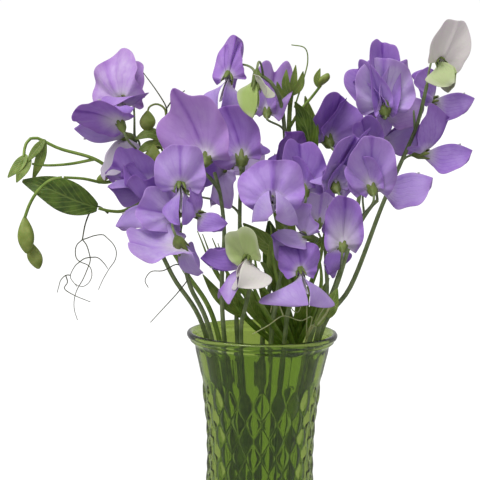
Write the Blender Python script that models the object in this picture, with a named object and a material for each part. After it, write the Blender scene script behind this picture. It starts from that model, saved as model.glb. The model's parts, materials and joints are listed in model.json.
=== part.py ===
"""Bunch of sweet peas standing in a flared pressed-glass vase.

Twelve cut flower stems, thirty-nine florets, two leafy vine shoots with their leaves, buds and
tendrils, and the vase.  Every plant piece is a plain closed solid of the right size and place.
Lengths in the tables are millimetres and angles are degrees; meshes are made in metres.
The origin is the middle of the vase's flat underside, +Z up, and the bunch is seen from -Y.
"""

import math

import bmesh
import bpy
from mathutils import Vector

MM = 0.001
SEAT_GAP = 0.35             # clearance between two pieces that touch

# ---- vase -------------------------------------------------------------------------------
VASE_HEIGHT = 200.0
VASE_SIDES = 32
GLASS = 3.2                 # wall thickness
FLOOR_THICKNESS = 9.0
LIP_HEIGHT = 7.0            # height of the rolled lip
FOOT_RADIUS = 40.0
WAIST_RADIUS = 35.2
WAIST_HEIGHT = 118.0
NECK_RADIUS = 46.0          # just under the lip
LIP_RADIUS = 50.0
LIP_INSIDE_RADIUS = 46.2

# ---- stalks -----------------------------------------------------------------------------
STALK_RADIUS = (1.75, 1.15)         # at the cut end and at the top
STALK_SIDES = 6
STALK_RINGS = 10
PEDICEL_RADIUS = 0.75
PEDICEL_GAP = 0.6           # its end face meets the calyx at a slant
PEDICEL_SIDES = 5
PEDICEL_RINGS = 4
PEDICEL_LEAD = 8.0                  # it leaves the stalk this far behind its calyx
PEDICEL_DROP = 12.0                 # and this far below it
PEDICEL_ZONE = 0.6                  # on the part of the stalk above this one
TENDRIL_RADIUS = 0.55
TENDRIL_SIDES = 4
MOUTH_HEIGHT = 200.0                # the routes below start here, inside the lip
WAIST_GATHER = 0.60                 # how far the stalks draw in at the waist
FOOT_GATHER = 0.50                  # and at their cut ends

# ---- florets ----------------------------------------------------------------------------
CALYX_LENGTH = 8.0
CALYX_RADIUS = (1.1, 3.3)
STANDARD_THICKNESS = 1.0
STANDARD_LENGTH = 0.78              # of its width
STANDARD_CLAW = 0.35                # part of its length in which it bends up
STANDARD_ROWS = 5
STANDARD_COLUMNS = 4
KEEL_HALF = 0.42                    # half length of wings and keel, of their reach
KEEL_DOWN = 0.10
KEEL_OVERLAP = 1.5                  # how far the wings and keel start inside the calyx

# Each form: how far the standard's halves fold back, how far they cup forward, and the
# half width and half depth of wings and keel as parts of the standard's width.
FORMS = {
    "open": dict(fold=8, cup=0.06, wings=(0.20, 0.14)),
    "back": dict(fold=14, cup=0.06, wings=(0.16, 0.13)),
    "side": dict(fold=34, cup=0.02, wings=(0.12, 0.20)),
    "folded": dict(fold=55, cup=0.0, wings=(0.13, 0.17)),
    "nod": dict(fold=30, cup=0.02, wings=(0.12, 0.16)),
    "young": dict(fold=18, cup=0.10, wings=(0.14, 0.18)),
}

# Floret: throat; the way its wings point; the way its standard stands; width of the
# standard; its height and the reach of its wings, against that of a plain floret; form.
FLORETS = {
    "floret_01": ((-94, 6, 350), (-4, -8, -1), (-5.2, 3, 8.3), 41, 1.12, 0.8, "open"),
    "floret_02": ((-92, -34, 337), (-3.5, 5.5, 7.5), (-8, -4, 3.5), 28, 1.5, 0.5, "back"),
    "floret_03": ((-92, -4, 327), (-8, -4, 1.0), (-7, -1, -6), 36, 1.0, 0.98, "side"),
    "floret_04": ((-71, -12, 296), (-8, -5, 0.3), (-8.5, -2, 3), 34, 1.25, 1.05, "side"),
    "floret_05": ((-68, -28, 286), (-7.5, -4, -3.5), (-7, -3, 2.5), 36, 1.0, 0.9, "side"),
    "floret_06": ((-56, -47, 281), (-5, 7, -2), (-9, -2.5, 1.5), 30, 1.15, 0.5, "back"),
    "floret_07": ((-52, -64, 263), (3, 4, -7), (-9, -2, -0.5), 40, 1.15, 0.62, "back"),
    "floret_08": ((-53, -54, 299), (0.5, -5, -7), (0, -2.5, 9), 32, 1.05, 0.85, "open"),
    "floret_09": ((-38, -34, 315), (1.5, 8, 3.5), (-3.7, 1, 9.2), 44, 1.2, 0.5, "back"),
    "floret_10": ((-42, -47, 281), (8, -4, -1.5), (2, -1, 7), 24, 1.0, 0.88, "side"),
    "floret_11": ((-15, -14, 315), (1, 7, 6), (-2.5, 2, 9), 40, 1.05, 0.5, "back"),
    "floret_12": ((-25, 8, 367), (-2, -6, -7), (1.5, 1, 9), 32, 1.2, 0.98, "folded"),
    "floret_13": ((1, 10, 345), (0.5, 7, 4), (1.5, 3, 9), 28, 1.6, 0.5, "back"),
    "floret_14": ((-11, 39, 320), (1, 4, -8), (0, -4, -8), 30, 1.0, 0.6, "nod"),
    "floret_15": ((-27, 27, 305), (-6, -4, -3), (-4, -3, -6), 32, 1.0, 0.88, "side"),
    "floret_16": ((-11, -62, 256), (-2.5, -6, -6), (-3, -2.5, 8), 24, 1.15, 0.95, "young"),
    "floret_17": ((-12, -50, 249), (-8, -3, 1.5), (-7, -4, -3.5), 32, 1.0, 0.95, "side"),
    "floret_18": ((25, -18, 295), (-1, 7, 4), (-1, 2, 8), 32, 1.3, 0.5, "back"),
    "floret_19": ((4, -54, 290), (0, -9, -2), (0, 1, 9), 42, 0.85, 0.66, "open"),
    "floret_20": ((25, -44, 268), (-8, -4, 1), (-4, 2, 6), 26, 1.0, 0.95, "side"),
    "floret_21": ((22, -58, 247), (1.5, -6, -5.5), (-0.5, 2, 8), 26, 1.1, 1.05, "open"),
    "floret_22": ((37, 24, 270), (1, 8, 3), (1, 2, 8), 28, 1.0, 0.5, "back"),
    "floret_23": ((15, 6, 310), (-7, 4, 3), (-1, -1.5, 8), 30, 1.0, 0.5, "back"),
    "floret_24": ((76, -12, 349), (-0.5, 7, 6), (-0.5, 1, 9), 40, 1.0, 0.5, "back"),
    "floret_25": ((79, 22, 346), (8, -3, 3), (6, -3, 6), 34, 1.0, 0.85, "side"),
    "floret_26": ((42, 21, 326), (-2, 7, 4), (1.5, 1, 8), 38, 1.1, 0.5, "back"),
    "floret_27": ((44, -28, 299), (-2, 7, 4), (3.2, 0, 9), 32, 1.5, 0.5, "back"),
    "floret_28": ((68, 2, 319), (0.5, 8, 1), (-2.4, -3, 9), 28, 1.4, 0.6, "folded"),
    "floret_29": ((79, 42, 325), (7, -3, 4), (3, -4, 5), 34, 1.0, 0.9, "side"),
    "floret_30": ((66, -46, 299), (-0.5, 7, 4), (-0.5, -1, 8.5), 32, 1.35, 0.5, "back"),
    "floret_31": ((73, -24, 299), (8, -3, 2), (2, -2, 8), 32, 1.0, 1.1, "side"),
    "floret_32": ((105, 8, 319), (8.5, -2, 1.2), (5.5, -1, 7), 32, 1.2, 1.0, "side"),
    "floret_33": ((112, -6, 379), (2.5, -8, -4.5), (3.8, 0, 8), 31, 1.25, 0.9, "young"),
    "floret_34": ((111, 14, 354), (8.5, -2, 1), (0.5, -1, 8), 26, 1.1, 1.05, "side"),
    "floret_35": ((49, -45, 263), (1, 7, 4), (0.2, -0.5, 8), 26, 1.6, 0.5, "back"),
    "floret_36": ((46, -10, 259), (-2, -5, -6), (-3, 2, 5), 26, 1.0, 0.88, "side"),
    "floret_37": ((-54, 52, 291), (0, 8, 2), (-0.5, 2, 8), 34, 1.0, 0.62, "open"),
    "floret_38": ((32, 54, 275), (1, 8, 1), (0, 2, 8), 36, 1.0, 0.62, "open"),
    "floret_39": ((-7, -30, 365), (-0.5, -2.5, -8), (4, -5, -6), 20, 1.0, 1.25, "young"),
}

# Flower stem: where it crosses the mouth (x, y), its route above, and the florets it carries.
STEMS = {
    "flower_stem_01": ((-38, -6), [(-60, -4, 237), (-75, 0, 270), (-82, 2, 306), (-86, 2, 328)],
                       ["floret_01", "floret_02", "floret_03", "floret_04"]),
    "flower_stem_02": ((-34, -15), [(-48, -14, 232), (-53, -12, 255), (-57, -8, 279), (-60, -4, 293)],
                       ["floret_05", "floret_06", "floret_07"]),
    "flower_stem_03": ((-25, -21), [(-27, -20, 236), (-26, -16, 267), (-29, -10, 291), (-33, -4, 305)],
                       ["floret_08", "floret_09", "floret_10"]),
    "flower_stem_04": ((-17, 10), [(-16, 14, 218), (-16, 16, 259), (-16, 14, 289), (-14, 8, 310)],
                       ["floret_11", "floret_14", "floret_15", "floret_37"]),
    "flower_stem_05": ((1, 19), [(6, 22, 231), (14, 24, 272), (14, 20, 313), (11, 10, 346),
                                 (4, 0, 363), (-8, 0, 371)],
                       ["floret_12", "floret_13", "floret_39"]),
    "flower_stem_06": ((-14, -34), [(-12, -38, 220), (-9, -40, 234), (-9, -42, 245)],
                       ["floret_16", "floret_17"]),
    "flower_stem_07": ((6, -10), [(9, -8, 222), (13, -2, 261), (17, 4, 287), (17, 8, 303)],
                       ["floret_18", "floret_19", "floret_23", "floret_38"]),
    "flower_stem_08": ((14, -30), [(16, -34, 220), (22, -36, 236), (27, -30, 255), (25, -24, 261)],
                       ["floret_20", "floret_21"]),
    "flower_stem_09": ((38, 8), [(49, 14, 230), (60, 20, 266), (66, 26, 300), (68, 27, 327),
                                 (72, 12, 342)],
                       ["floret_24", "floret_25", "floret_26"]),
    "flower_stem_10": ((31, -23), [(46, -24, 232), (56, -22, 264), (67, -16, 283), (73, -12, 289)],
                       ["floret_27", "floret_28", "floret_30", "floret_31", "floret_35"]),
    "flower_stem_11": ((39, -2), [(59, 6, 231), (79, 14, 284), (91, 12, 314), (99, 1, 338),
                                  (104, -4, 364)],
                       ["floret_29", "floret_32", "floret_33", "floret_34"]),
    "flower_stem_12": ((36, -13), [(42, -4, 224), (42, 8, 244), (41, 12, 262)],
                       ["floret_22", "floret_36"]),
}

# ---- vines, leaves, buds and tendrils -----------------------------------------------------
VINE_LEFT = ((-31, 14), [(-53, 22, 237), (-77, 20, 274), (-98, 12, 300), (-112, 6, 312),
                         (-135, 0, 319), (-150, -4, 326), (-156, -6, 322), (-157, -8, 314)])
VINE_LEFT_SIDE = [(-97, 12, 299), (-106, 3, 297), (-118, -9, 300), (-130, -15, 301)]
VINE_LEFT_TWIG = [(-113, 6, 312), (-128, 2, 309), (-142, -3, 308), (-152, -6, 309)]
RACEME_STALK = [(-78.6, 1, 288), (-70, -2, 304), (-65, -3, 319), (-65, -4, 340)]
VINE_LEFT_LOW = [(-84, 17, 283), (-93, 10, 278), (-101, 4, 278), (-109, 0, 280)]
VINE_CENTRE = ((24, 24), [(23, 34, 244), (18, 32, 285), (16, 24, 319), (16, 16, 346), (17, 12, 358)])
VINE_CENTRE_SIDE = [(16, 20, 334), (22, 12, 345), (30, 9, 355), (36, 7, 363)]
VINE_FRONT = ((28, -29), [(34, -38, 211), (40, -42, 220), (42, -43, 226)])

# Leaf: its midrib, its widest, the way its upper face looks
LEAVES = {
    "leaf_left": ([(-109.8, -0.5, 280.4), (-123, -5, 285), (-141, -8, 293), (-158, -9, 298)],
                  22, (-2, -8, 3)),
    "leaf_centre": ([(30, 13, 308), (29, 11, 328), (24, 10, 344), (19, 8, 352)], 17, (-6, -8, 2)),
    "leaf_back": ([(20.5, 30, 212), (14, 36, 230), (8, 40, 252), (4, 42, 270)], 22, (-1, -9, 3)),
}


def smooth_route(points, count):
    """Evenly spread points along a smooth curve through the given ones."""
    knots = [Vector(point) for point in points]
    ends = [knots[0] * 2 - knots[1], *knots, knots[-1] * 2 - knots[-2]]
    dense = []
    steps = 12
    for i in range(len(knots) - 1):
        a, b, c, d = ends[i:i + 4]
        for j in range(steps):
            t = j / steps
            dense.append(0.5 * (2 * b + (c - a) * t + (2 * a - 5 * b + 4 * c - d) * t * t
                                + (3 * b - a - 3 * c + d) * t ** 3))
    dense.append(knots[-1])
    run = [0.0]
    for here, there in zip(dense, dense[1:]):
        run.append(run[-1] + (there - here).length)
    route, k = [], 0
    for i in range(count):
        goal = run[-1] * i / (count - 1)
        while k < len(run) - 2 and run[k + 1] < goal:
            k += 1
        part = (goal - run[k]) / max(run[k + 1] - run[k], 1e-9)
        route.append(dense[k].lerp(dense[k + 1], min(part, 1.0)))
    return route


def solid_from(rings):
    """A closed skin over rings of equal count, as a bmesh in metres."""
    skin = bmesh.new()
    rows = [[skin.verts.new(point * MM) for point in ring] for ring in rings]
    count = len(rows[0])
    for low, high in zip(rows, rows[1:]):
        for i in range(count):
            j = (i + 1) % count
            skin.faces.new((low[i], low[j], high[j], high[i]))
    skin.faces.new(rows[0][::-1])
    skin.faces.new(rows[-1])
    bmesh.ops.recalc_face_normals(skin, faces=skin.faces)
    return skin


def tube(route, radii, sides):
    """A round stalk along a route, tapering from one radius to the other."""
    side = (route[1] - route[0]).orthogonal().normalized()
    rings = []
    for i, centre in enumerate(route):
        along = (route[min(i + 1, len(route) - 1)] - route[max(i - 1, 0)]).normalized()
        side = (side - along * side.dot(along)).normalized()
        other = along.cross(side)
        radius = radii[0] + (radii[1] - radii[0]) * i / (len(route) - 1)
        rings.append([centre + radius * (side * math.cos(a) + other * math.sin(a))
                      for a in (math.tau * k / sides for k in range(sides))])
    return solid_from(rings)


def blade(grid, thickness):
    """A closed sheet over rows of points, with half its thickness on each side."""
    rows, columns = len(grid), len(grid[0])
    rings = []
    for i in range(rows):
        front, back = [], []
        for j in range(columns):
            along = grid[min(i + 1, rows - 1)][j] - grid[max(i - 1, 0)][j]
            across = grid[i][min(j + 1, columns - 1)] - grid[i][max(j - 1, 0)]
            out = across.cross(along).normalized() * thickness / 2
            front.append(grid[i][j] + out)
            back.append(grid[i][j] - out)
        rings.append(front + back[::-1])
    return solid_from(rings)


def ellipsoid(centre, half, axes, segments=6, rings=4):
    """A closed egg with its half sizes along three axes."""
    egg = bmesh.new()
    bmesh.ops.create_uvsphere(egg, u_segments=segments, v_segments=rings, radius=1.0)
    for vert in egg.verts:
        place = centre.copy()
        for size, axis, part in zip(half, axes, vert.co):
            place += axis * size * part
        vert.co = place * MM
    bmesh.ops.recalc_face_normals(egg, faces=egg.faces)
    return egg


def leaf_blade(midrib, width, up, rows=5, thickness=0.9):
    """A pointed leaf, widest a little below its middle, on a curved midrib."""
    spine = smooth_route(midrib, rows + 1)
    grid = []
    for i, centre in enumerate(spine):
        t = i / rows
        along = (spine[min(i + 1, rows)] - spine[max(i - 1, 0)]).normalized()
        across = along.cross(Vector(up)).normalized()
        half = width / 2 * max(math.sin(math.pi * (0.06 + 0.88 * t) ** 0.85), 0.08)
        grid.append([centre + across * half * s for s in (-1, 0, 1)])
    return blade(grid, thickness)


def material(name, colour, roughness):
    """A plain Principled finish."""
    finish = bpy.data.materials.new(name)
    finish.use_nodes = True
    shader = finish.node_tree.nodes["Principled BSDF"]
    shader.inputs["Base Color"].default_value = (*colour, 1.0)
    shader.inputs["Roughness"].default_value = roughness
    shader.inputs["Metallic"].default_value = 0.0
    return finish


def object_from(name, shape, finish):
    """Turns a bmesh into a smooth-shaded object in the scene."""
    mesh = bpy.data.meshes.new(name)
    shape.to_mesh(mesh)
    shape.free()
    obj = bpy.data.objects.new(name, mesh)
    bpy.context.scene.collection.objects.link(obj)
    if finish:
        mesh.materials.append(finish)
    mesh.shade_smooth()
    mesh.set_sharp_from_angle(angle=math.radians(50))
    return obj


def unite(name, shapes, finish):
    """One closed body out of overlapping closed shapes."""
    body = object_from(name, shapes[0], finish)
    helpers = [object_from(f"{name}_add", shape, None) for shape in shapes[1:]]
    for helper in helpers:
        join = body.modifiers.new("join", "BOOLEAN")
        join.operation = "UNION"
        join.object = helper
    graph = bpy.context.evaluated_depsgraph_get()
    joined = bpy.data.meshes.new_from_object(body.evaluated_get(graph))
    body.modifiers.clear()
    body.data = joined
    for helper in helpers:
        bpy.data.objects.remove(helper, do_unlink=True)
    return body


# ---- vase ---------------------------------------------------------------------------------
def vase_outside(height):
    """Outer radius of the vase body at a height: a waist, then a flare to the neck."""
    if height < WAIST_HEIGHT:
        part = 1 - height / WAIST_HEIGHT
        return WAIST_RADIUS + (FOOT_RADIUS - WAIST_RADIUS) * part ** 2
    part = (height - WAIST_HEIGHT) / (VASE_HEIGHT - LIP_HEIGHT - WAIST_HEIGHT)
    return WAIST_RADIUS + (NECK_RADIUS - WAIST_RADIUS) * part ** 1.9


def vase_profile():
    """Radius and height, down the outside from the lip and back up the inside."""
    neck = VASE_HEIGHT - LIP_HEIGHT
    outside = [(LIP_INSIDE_RADIUS + 1.2, VASE_HEIGHT), (LIP_RADIUS - 0.6, VASE_HEIGHT - 0.8),
               (LIP_RADIUS, VASE_HEIGHT - 2.6), (LIP_RADIUS - 1.4, VASE_HEIGHT - 5.2)]
    heights = [neck, 184, 172, 158, 140, WAIST_HEIGHT, 90, 60, 30, 5]
    outside += [(vase_outside(height), height) for height in heights]
    outside.append((vase_outside(0) - 1.5, 0.0))
    inner_heights = [FLOOR_THICKNESS + 4, 30, 60, 90, WAIST_HEIGHT, 140, 158, 172, 184, neck]
    inside = [(vase_outside(FLOOR_THICKNESS) - GLASS - 4, FLOOR_THICKNESS)]
    inside += [(vase_outside(height) - GLASS, height) for height in inner_heights]
    inside.append((LIP_INSIDE_RADIUS, VASE_HEIGHT - 1.0))
    return outside, inside


def make_vase(finish):
    outside, inside = vase_profile()
    turned = bmesh.new()
    loop = outside + inside

    def ring(radius, height):
        return [turned.verts.new(Vector((radius * math.cos(a), radius * math.sin(a), height)) * MM)
                for a in (math.tau * k / VASE_SIDES for k in range(VASE_SIDES))]

    rings = [ring(radius, height) for radius, height in loop]
    foot, floor = len(outside) - 1, len(outside)
    pairs = [(i, i + 1) for i in range(len(rings) - 1) if i != foot] + [(len(rings) - 1, 0)]
    for low, high in pairs:
        for i in range(VASE_SIDES):
            j = (i + 1) % VASE_SIDES
            turned.faces.new((rings[low][i], rings[low][j], rings[high][j], rings[high][i]))
    turned.faces.new(rings[foot])
    turned.faces.new(rings[floor])
    bmesh.ops.recalc_face_normals(turned, faces=turned.faces)
    return object_from("vase", turned, finish)


# ---- plant --------------------------------------------------------------------------------
def stalk_route(mouth, above):
    """From the cut end on the vase floor, through waist and mouth, along the route above."""
    x, y = mouth
    foot = (x * FOOT_GATHER, y * FOOT_GATHER, FLOOR_THICKNESS + SEAT_GAP)
    waist = (x * WAIST_GATHER, y * WAIST_GATHER, WAIST_HEIGHT)
    return [foot, waist, (x, y, MOUTH_HEIGHT), *above]


def floret_axes(name):
    """Right, forward and up of a floret, and the angle its standard stands at."""
    forward, rise = (Vector(way).normalized() for way in FLORETS[name][1:3])
    up = (rise - forward * rise.dot(forward)).normalized()
    return forward.cross(up), forward, up, forward.angle(rise)


def standard_petal(throat, axes, width, tall, form):
    """The upright petal: a claw that bends up into two broad lobes."""
    right, forward, up, lift = axes
    fold = math.radians(form["fold"])
    place = throat - forward * 2.0
    grid = []
    step = STANDARD_LENGTH * width * tall / STANDARD_ROWS
    for i in range(STANDARD_ROWS + 1):
        t = i / STANDARD_ROWS
        bend = lift * min(t / STANDARD_CLAW, 1.0) ** 0.7
        along = forward * math.cos(bend) + up * math.sin(bend)
        face = along.cross(right) * -1
        if i:
            place = place + along * step
        half = width / 2 * (0.16 + 0.84 * math.sin(math.pi * min(0.02 + 0.80 * t, 1.0)) ** 0.8)
        row = []
        for j in range(STANDARD_COLUMNS + 1):
            s = 2 * j / STANDARD_COLUMNS - 1
            out = right * s * math.cos(fold) + face * (form["cup"] * s * s * 2
                                                       - abs(s) * math.sin(fold))
            row.append(place + out * half)
        grid.append(row)
    return blade(grid, STANDARD_THICKNESS)


def make_floret(name, finish):
    throat, _, _, width, tall, reach, form_name = FLORETS[name]
    throat = Vector(throat)
    axes = floret_axes(name)
    right, forward, up, _ = axes
    form = FORMS[form_name]
    calyx = tube([throat - forward * CALYX_LENGTH * part for part in (1.0, 0.5, 0.0)],
                 CALYX_RADIUS, STALK_SIDES)
    half = KEEL_HALF * reach * width
    middle = throat + forward * (half - KEEL_OVERLAP) - up * KEEL_DOWN * width
    across, deep = form["wings"]
    keel = ellipsoid(middle, (across * width, half, deep * width), (right, forward, up))
    return unite(name, [standard_petal(throat, axes, width, tall, form), calyx, keel], finish)


def pedicel(route, floret):
    """The short stalk from a flower stem to the foot of a calyx."""
    throat = Vector(FLORETS[floret][0])
    forward = floret_axes(floret)[1]
    end = throat - forward * (CALYX_LENGTH + PEDICEL_GAP)
    reach = end - forward * PEDICEL_LEAD - Vector((0, 0, PEDICEL_DROP))
    upper = route[int(len(route) * PEDICEL_ZONE):]
    start = min(upper, key=lambda point: (point - reach).length)
    length = (end - start).length
    lead = start + Vector((0, 0, 1)) * length * 0.25 + (end - start) * 0.1
    brake = end - forward * length * 0.35
    points = []
    for i in range(PEDICEL_RINGS + 1):
        t = i / PEDICEL_RINGS
        points.append(start * (1 - t) ** 3 + lead * 3 * t * (1 - t) ** 2
                      + brake * 3 * t * t * (1 - t) + end * t ** 3)
    return tube(points, (PEDICEL_RADIUS, PEDICEL_RADIUS), PEDICEL_SIDES)


def make_stem(name, finish):
    mouth, above, florets = STEMS[name]
    knots = stalk_route(mouth, above)
    route = smooth_route(knots, STALK_RINGS + 1 + len(above))
    shapes = [tube(route, STALK_RADIUS, STALK_SIDES)]
    shapes += [pedicel(route, floret) for floret in florets]
    if name == "flower_stem_01":
        shapes += young_raceme()
    return unite(name, shapes, finish)


def young_raceme():
    """A side shoot beside the leftmost flowers, with two closed buds and two leaflets."""
    upright = (Vector((1, 0, 0)), Vector((0, 1, 0)), Vector((0, 0, 1)))
    return [thin_stalk(RACEME_STALK, 1.0),
            thin_stalk([(-65, -4, 339), (-66, -4, 346), (-71, -4, 349), (-76, -5, 347), (-77, -6, 341)]),
            ellipsoid(Vector((-77, -6, 338)), (5.0, 4.6, 6.5), upright),
            thin_stalk([(-66, -3, 316), (-69, -6, 321), (-73, -8, 320)]),
            ellipsoid(Vector((-73.5, -8.5, 314.5)), (5.4, 5.0, 8.0), upright),
            leaf_blade([(-66, -3, 326), (-75, -8, 330), (-85, -10, 326)], 8, (-2, -8, 3), 3),
            leaf_blade([(-66, -3, 330), (-60, -8, 334), (-53, -10, 330)], 7, (2, -8, 3), 3)]


def thin_stalk(points, radius=PEDICEL_RADIUS, sides=PEDICEL_SIDES, count=6):
    return tube(smooth_route(points, count), (radius, radius * 0.8), sides)


def make_vine_left(finish):
    shapes = [tube(smooth_route(stalk_route(*VINE_LEFT), 20), (1.6, 0.8), STALK_SIDES),
              thin_stalk(VINE_LEFT_SIDE, 0.9),
              thin_stalk(VINE_LEFT_LOW, 0.9),
              thin_stalk(VINE_LEFT_TWIG, 0.9),
              leaf_blade([(-155, -8, 315), (-160, -10, 308), (-167, -11, 300)], 8, (-2, -8, 2), 3),
              leaf_blade([(-153, -7, 313), (-157, -11, 306), (-161, -13, 297)], 8, (1, -8, 2), 3),
              leaf_blade([(-144, -3, 325), (-147, -5, 312), (-152, -4, 298)], 7, (3, -8, 1), 3)]
    return unite("vine_left", shapes, finish)


def make_vine_centre(finish):
    shapes = [tube(smooth_route(stalk_route(*VINE_CENTRE), 14), (2.2, 1.2), STALK_SIDES),
              thin_stalk(VINE_CENTRE_SIDE, 0.9),
              leaf_blade([(17, 12, 356), (13, 9, 364), (13, 7, 374)], 7, (-1, -8, 1), 3),
              leaf_blade([(17, 12, 356), (20, 8, 363), (22, 6, 371)], 7, (1, -8, 1), 3),
              leaf_blade([(35, 7, 362), (34, 5, 369), (37, 4, 376)], 7, (1, -8, 1), 3)]
    return unite("vine_centre", shapes, finish)


def make_leaf(name, finish):
    midrib, width, up = LEAVES[name]
    return unite(name, [leaf_blade(midrib, width, up)], finish)


def make_bud_spray(finish):
    """Two drooping buds on one thin stalk."""
    stalk = [(-131.3, -15, 301), (-139, -15, 299), (-147, -13, 292), (-153, -9, 283), (-157, -6, 273)]
    down = (Vector((1, 0, 0)), Vector((0, 1, 0)), Vector((0, 0, 1)))
    shapes = [thin_stalk(stalk, 0.8, count=8),
              ellipsoid(Vector((-156, -6.5, 263)), (5.2, 4.6, 12.0), down),
              thin_stalk([(-156, -7, 276), (-158, -4, 264), (-154, 1, 254)], 0.6),
              ellipsoid(Vector((-151.5, 1, 248)), (4.6, 4.2, 8.5), down)]
    return unite("bud_spray_left", shapes, finish)


def make_tendrils_left(finish):
    """Long curly tendrils hanging from the left vine's side shoot."""
    strands = [[(-103, 2.5, 276.6), (-109, 3, 272), (-116, 3, 268), (-120, 3, 263), (-120, 2, 256)],
               [(-120, 2, 257), (-113, -2, 261), (-104, -4, 263), (-98, -2, 254), (-104, 2, 238),
                (-109, 0, 226)],
               [(-120, 2, 257), (-125, 5, 248), (-123, 2, 241), (-114, -3, 236)],
               [(-120, 2, 257), (-113, -5, 245), (-119, -3, 229), (-125, 0, 219), (-123, 2, 202)]]
    return unite("tendrils_left", [thin_stalk(strand, TENDRIL_RADIUS, TENDRIL_SIDES, 8)
                                   for strand in strands], finish)


def make_tendrils_front(finish):
    """A thin shoot at the front of the mouth, with two leaflets and two tendrils."""
    route = smooth_route(stalk_route(*VINE_FRONT), 18)
    root = tuple(route[-3])
    strands = [[root, (26, -46, 217), (14, -48, 220), (4, -50, 213), (-6, -52, 208)],
               [root, (24, -49, 224), (31, -52, 231), (44, -53, 228)]]
    shapes = [tube(route, (1.3, 0.8), STALK_SIDES),
              leaf_blade([(39, -41, 218), (46, -46, 226), (49, -48, 236)], 9, (-2, -8, 1), 3)]
    shapes += [thin_stalk(strand, TENDRIL_RADIUS, TENDRIL_SIDES, 8) for strand in strands]
    return unite("tendrils_front", shapes, finish)


def main():
    for obj in list(bpy.data.objects):
        bpy.data.objects.remove(obj, do_unlink=True)
    glass = material("green_glass", (0.16, 0.28, 0.03), 0.05)
    petal = material("petal", (0.30, 0.15, 0.55), 0.6)
    green = material("stalk", (0.13, 0.20, 0.05), 0.5)
    leaf = material("leaf", (0.06, 0.13, 0.02), 0.5)
    make_vase(glass)
    for name in FLORETS:
        make_floret(name, petal)
    for name in STEMS:
        make_stem(name, green)
    for name in LEAVES:
        make_leaf(name, leaf)
    make_vine_left(green)
    make_vine_centre(green)
    make_bud_spray(green)
    make_tendrils_left(green)
    make_tendrils_front(green)


main()
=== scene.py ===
import json
import math

import bmesh
import bpy
import numpy as np
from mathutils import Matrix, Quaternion, Vector


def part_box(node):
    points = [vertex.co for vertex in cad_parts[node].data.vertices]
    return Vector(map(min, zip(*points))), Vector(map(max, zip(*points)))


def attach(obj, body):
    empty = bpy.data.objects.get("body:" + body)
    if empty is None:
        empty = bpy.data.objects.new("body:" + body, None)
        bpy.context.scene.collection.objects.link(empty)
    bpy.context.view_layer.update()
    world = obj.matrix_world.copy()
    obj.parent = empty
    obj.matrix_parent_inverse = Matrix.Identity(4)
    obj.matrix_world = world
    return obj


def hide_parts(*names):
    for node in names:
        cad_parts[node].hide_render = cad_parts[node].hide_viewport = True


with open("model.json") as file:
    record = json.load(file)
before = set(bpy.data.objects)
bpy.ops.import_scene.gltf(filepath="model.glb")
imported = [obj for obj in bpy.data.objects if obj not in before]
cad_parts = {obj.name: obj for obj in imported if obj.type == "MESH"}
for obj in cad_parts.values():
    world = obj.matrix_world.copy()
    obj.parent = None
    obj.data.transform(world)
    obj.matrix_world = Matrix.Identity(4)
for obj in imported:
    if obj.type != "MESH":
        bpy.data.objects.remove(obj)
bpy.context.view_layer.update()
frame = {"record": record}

# Lengths in the tables are millimetres and angles are degrees; every mesh is made in metres.
MM = 0.001

# ---- camera and light ---------------------------------------------------------------------
LENS = 100.0
VIEW_DISTANCE = 0.880
VIEW_DOWN = math.radians(6.0)
VIEW_ROLL = math.radians(0.9)
VIEW_AIM = (-0.0157, 0.0, 0.2606)
FLOOR_REACH = 40.0
SKY_LIGHT = 0.55
KEY_LIGHT = 2.3
KEY_ANGLE = math.radians(50)    # a broad sun, so its shadows are soft
KEY_FROM = (-0.45, -0.55, 1.0)
AIR_SEEN = 1.02                 # strength of the air where the camera looks straight at it
PAPER_SEEN = 0.98               # tone of the floor where the camera looks straight at it
PAPER_LIT = 0.42                # and the tone that it throws back on the object

# ---- vase ---------------------------------------------------------------------------------
GLASS = 3.2
LIP_HEIGHT = 7.0
FLOOR_THICKNESS = 9.0
WAIST_HEIGHT = 118.0
WAIST_RADIUS = 35.2
NECK_RADIUS = 46.0
FOOT_RADIUS = 40.0
DIAMONDS_AROUND = 22
DIAMOND_PITCH = 22.8        # height of two staggered rows
DIAMOND_HEIGHT = 19.0
DIAMOND_WIDTH = 0.92        # of the spacing round the vase
DIAMOND_TOP = 168.0
DIAMOND_FOOT = 14.0
DIAMOND_RELIEF = 1.6
RELIEF_SINK = 0.8
COLLAR_PANELS = 22
COLLAR_RELIEF = 0.5
FACETS_PER_DIAMOND = 14
FACET_STEP = 0.9

# ---- stalks -------------------------------------------------------------------------------
STALK_RADIUS = (2.2, 1.25)
PEDICEL_RADIUS = 0.72
TENDRIL_RADIUS = 0.42
MOUTH_HEIGHT = 200.0
WAIST_GATHER = 0.60
FOOT_GATHER = 0.50
SEAT_GAP = 0.35
CALYX_LENGTH = 8.0

# ---- thickness of each kind of sheet ------------------------------------------------------
PETAL_SHEET = 0.35
CALYX_SHEET = 0.45
LEAF_SHEET = 0.45
LEAFLET_SHEET = 0.4
BUD_SHEET = 0.3

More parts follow.
